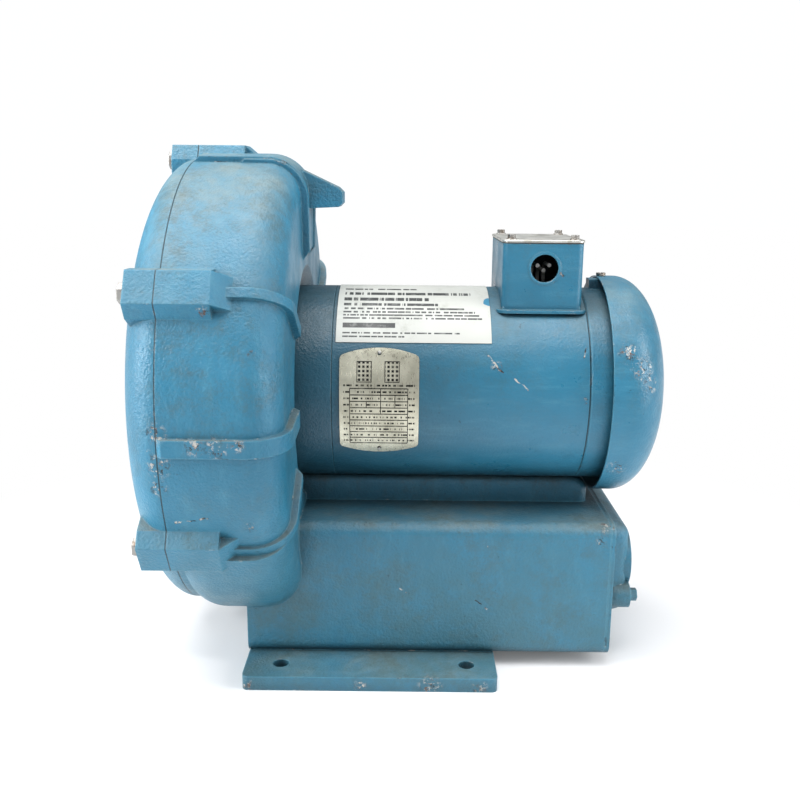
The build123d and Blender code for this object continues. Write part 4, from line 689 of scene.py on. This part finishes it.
def floor_material():
    """White floor that keeps its shadow near the part and fades to plain white further off."""
    t = Tree("studio_floor")
    seen = t.add("ShaderNodeLightPath").outputs
    direct = t.math("ADD", seen["Is Camera Ray"], seen["Is Glossy Ray"])
    direct = t.math("ADD", direct, seen["Is Transmission Ray"], clamp=True)
    away = t.measure("DISTANCE", t.place, SHADOW_CENTRE)
    glow = t.times(direct, t.ramp(away, SHADOW_NEAR, SHADOW_FAR, NEAR_GLOW, 1.0))
    white = t.add("ShaderNodeEmission", {"Color": PLAIN_WHITE, "Strength": 1.0})
    blend = t.add("ShaderNodeMixShader", {0: glow, 1: t.shader.outputs[0], 2: white.outputs[0]})
    t.links.new(blend.outputs[0], t.nodes["Material Output"].inputs["Surface"])
    return t.finish(Base_Color=FLOOR_WHITE, Roughness=0.6, Specular_IOR_Level=0.15)


FLOOR_CORNERS = [
    (-FLOOR_HALF, -FLOOR_HALF, 0),
    (FLOOR_HALF, -FLOOR_HALF, 0),
    (FLOOR_HALF, FLOOR_HALF, 0),
    (-FLOOR_HALF, FLOOR_HALF, 0),
]
mesh = bpy.data.meshes.new("floor")
mesh.from_pydata(FLOOR_CORNERS, [], [(0, 1, 2, 3)])
floor = bpy.data.objects.new("floor", mesh)
bpy.context.scene.collection.objects.link(floor)
floor.data.materials.append(floor_material())

# ------------------------------------------------------------------ light
SKY_LIGHT = 0.36  # the sky's strength as a light
SKY_SEEN = 1.05  # and as the camera sees it

world = bpy.data.worlds.new("studio")
bpy.context.scene.world = world
world.use_nodes = True
world_nodes = world.node_tree.nodes
world_links = world.node_tree.links
backdrop = world_nodes["Background"]
backdrop.inputs["Color"].default_value = SKY_WHITE
rays = world_nodes.new("ShaderNodeLightPath")
strength = world_nodes.new("ShaderNodeMapRange")
world_links.new(rays.outputs["Is Camera Ray"], strength.inputs["Value"])
strength.inputs["To Min"].default_value = SKY_LIGHT
strength.inputs["To Max"].default_value = SKY_SEEN
world_links.new(strength.outputs["Result"], backdrop.inputs["Strength"])

LAMPS = (  # name, place, aim, width and height, watts
    ("overhead", (-0.15, -0.20, 1.8), (0.03, 0, 0.2), (1.6, 1.2), 38),
    ("left", (-1.50, -0.45, 0.70), (-0.12, -0.05, 0.22), (0.9, 1.1), 36),
    ("right", (1.35, -0.45, 0.70), (0.10, 0, 0.24), (0.35, 1.1), 15),
    ("front", (-0.5, -2.2, 1.2), (0.0, 0, 0.2), (1.0, 0.9), 3),
)


def area_light(name, place, aim, size, power):
    """A soft rectangular lamp at place, turned towards aim."""
    data = bpy.data.lights.new(name, "AREA")
    data.shape = "RECTANGLE"
    data.size, data.size_y = size
    data.energy = power
    lamp = bpy.data.objects.new(name, data)
    lamp.location = place
    lamp.rotation_euler = (Vector(aim) - Vector(place)).to_track_quat("-Z", "Y").to_euler()
    bpy.context.scene.collection.objects.link(lamp)


for lamp in LAMPS:
    area_light(*lamp)

# ------------------------------------------------------------------ camera
SENSOR_WIDTH = 36  # mm
FOCAL_PIXELS = 923.3
PICTURE_PIXELS = 800
CAMERA_PLACE = (0.021, -0.794, 0.3953)
CAMERA_TURN = (1.341786, -0.009252, 0.004157)  # radians

camera_data = bpy.data.cameras.new("camera")
camera_data.sensor_width = SENSOR_WIDTH
camera_data.lens = FOCAL_PIXELS / PICTURE_PIXELS * SENSOR_WIDTH
camera_data.clip_end = 40
camera = bpy.data.objects.new("camera", camera_data)
camera.location = CAMERA_PLACE
camera.rotation_euler = Euler(CAMERA_TURN, "XYZ")
bpy.context.scene.collection.objects.link(camera)
bpy.context.scene.camera = camera
bpy.context.scene.view_settings.view_transform = "Standard"
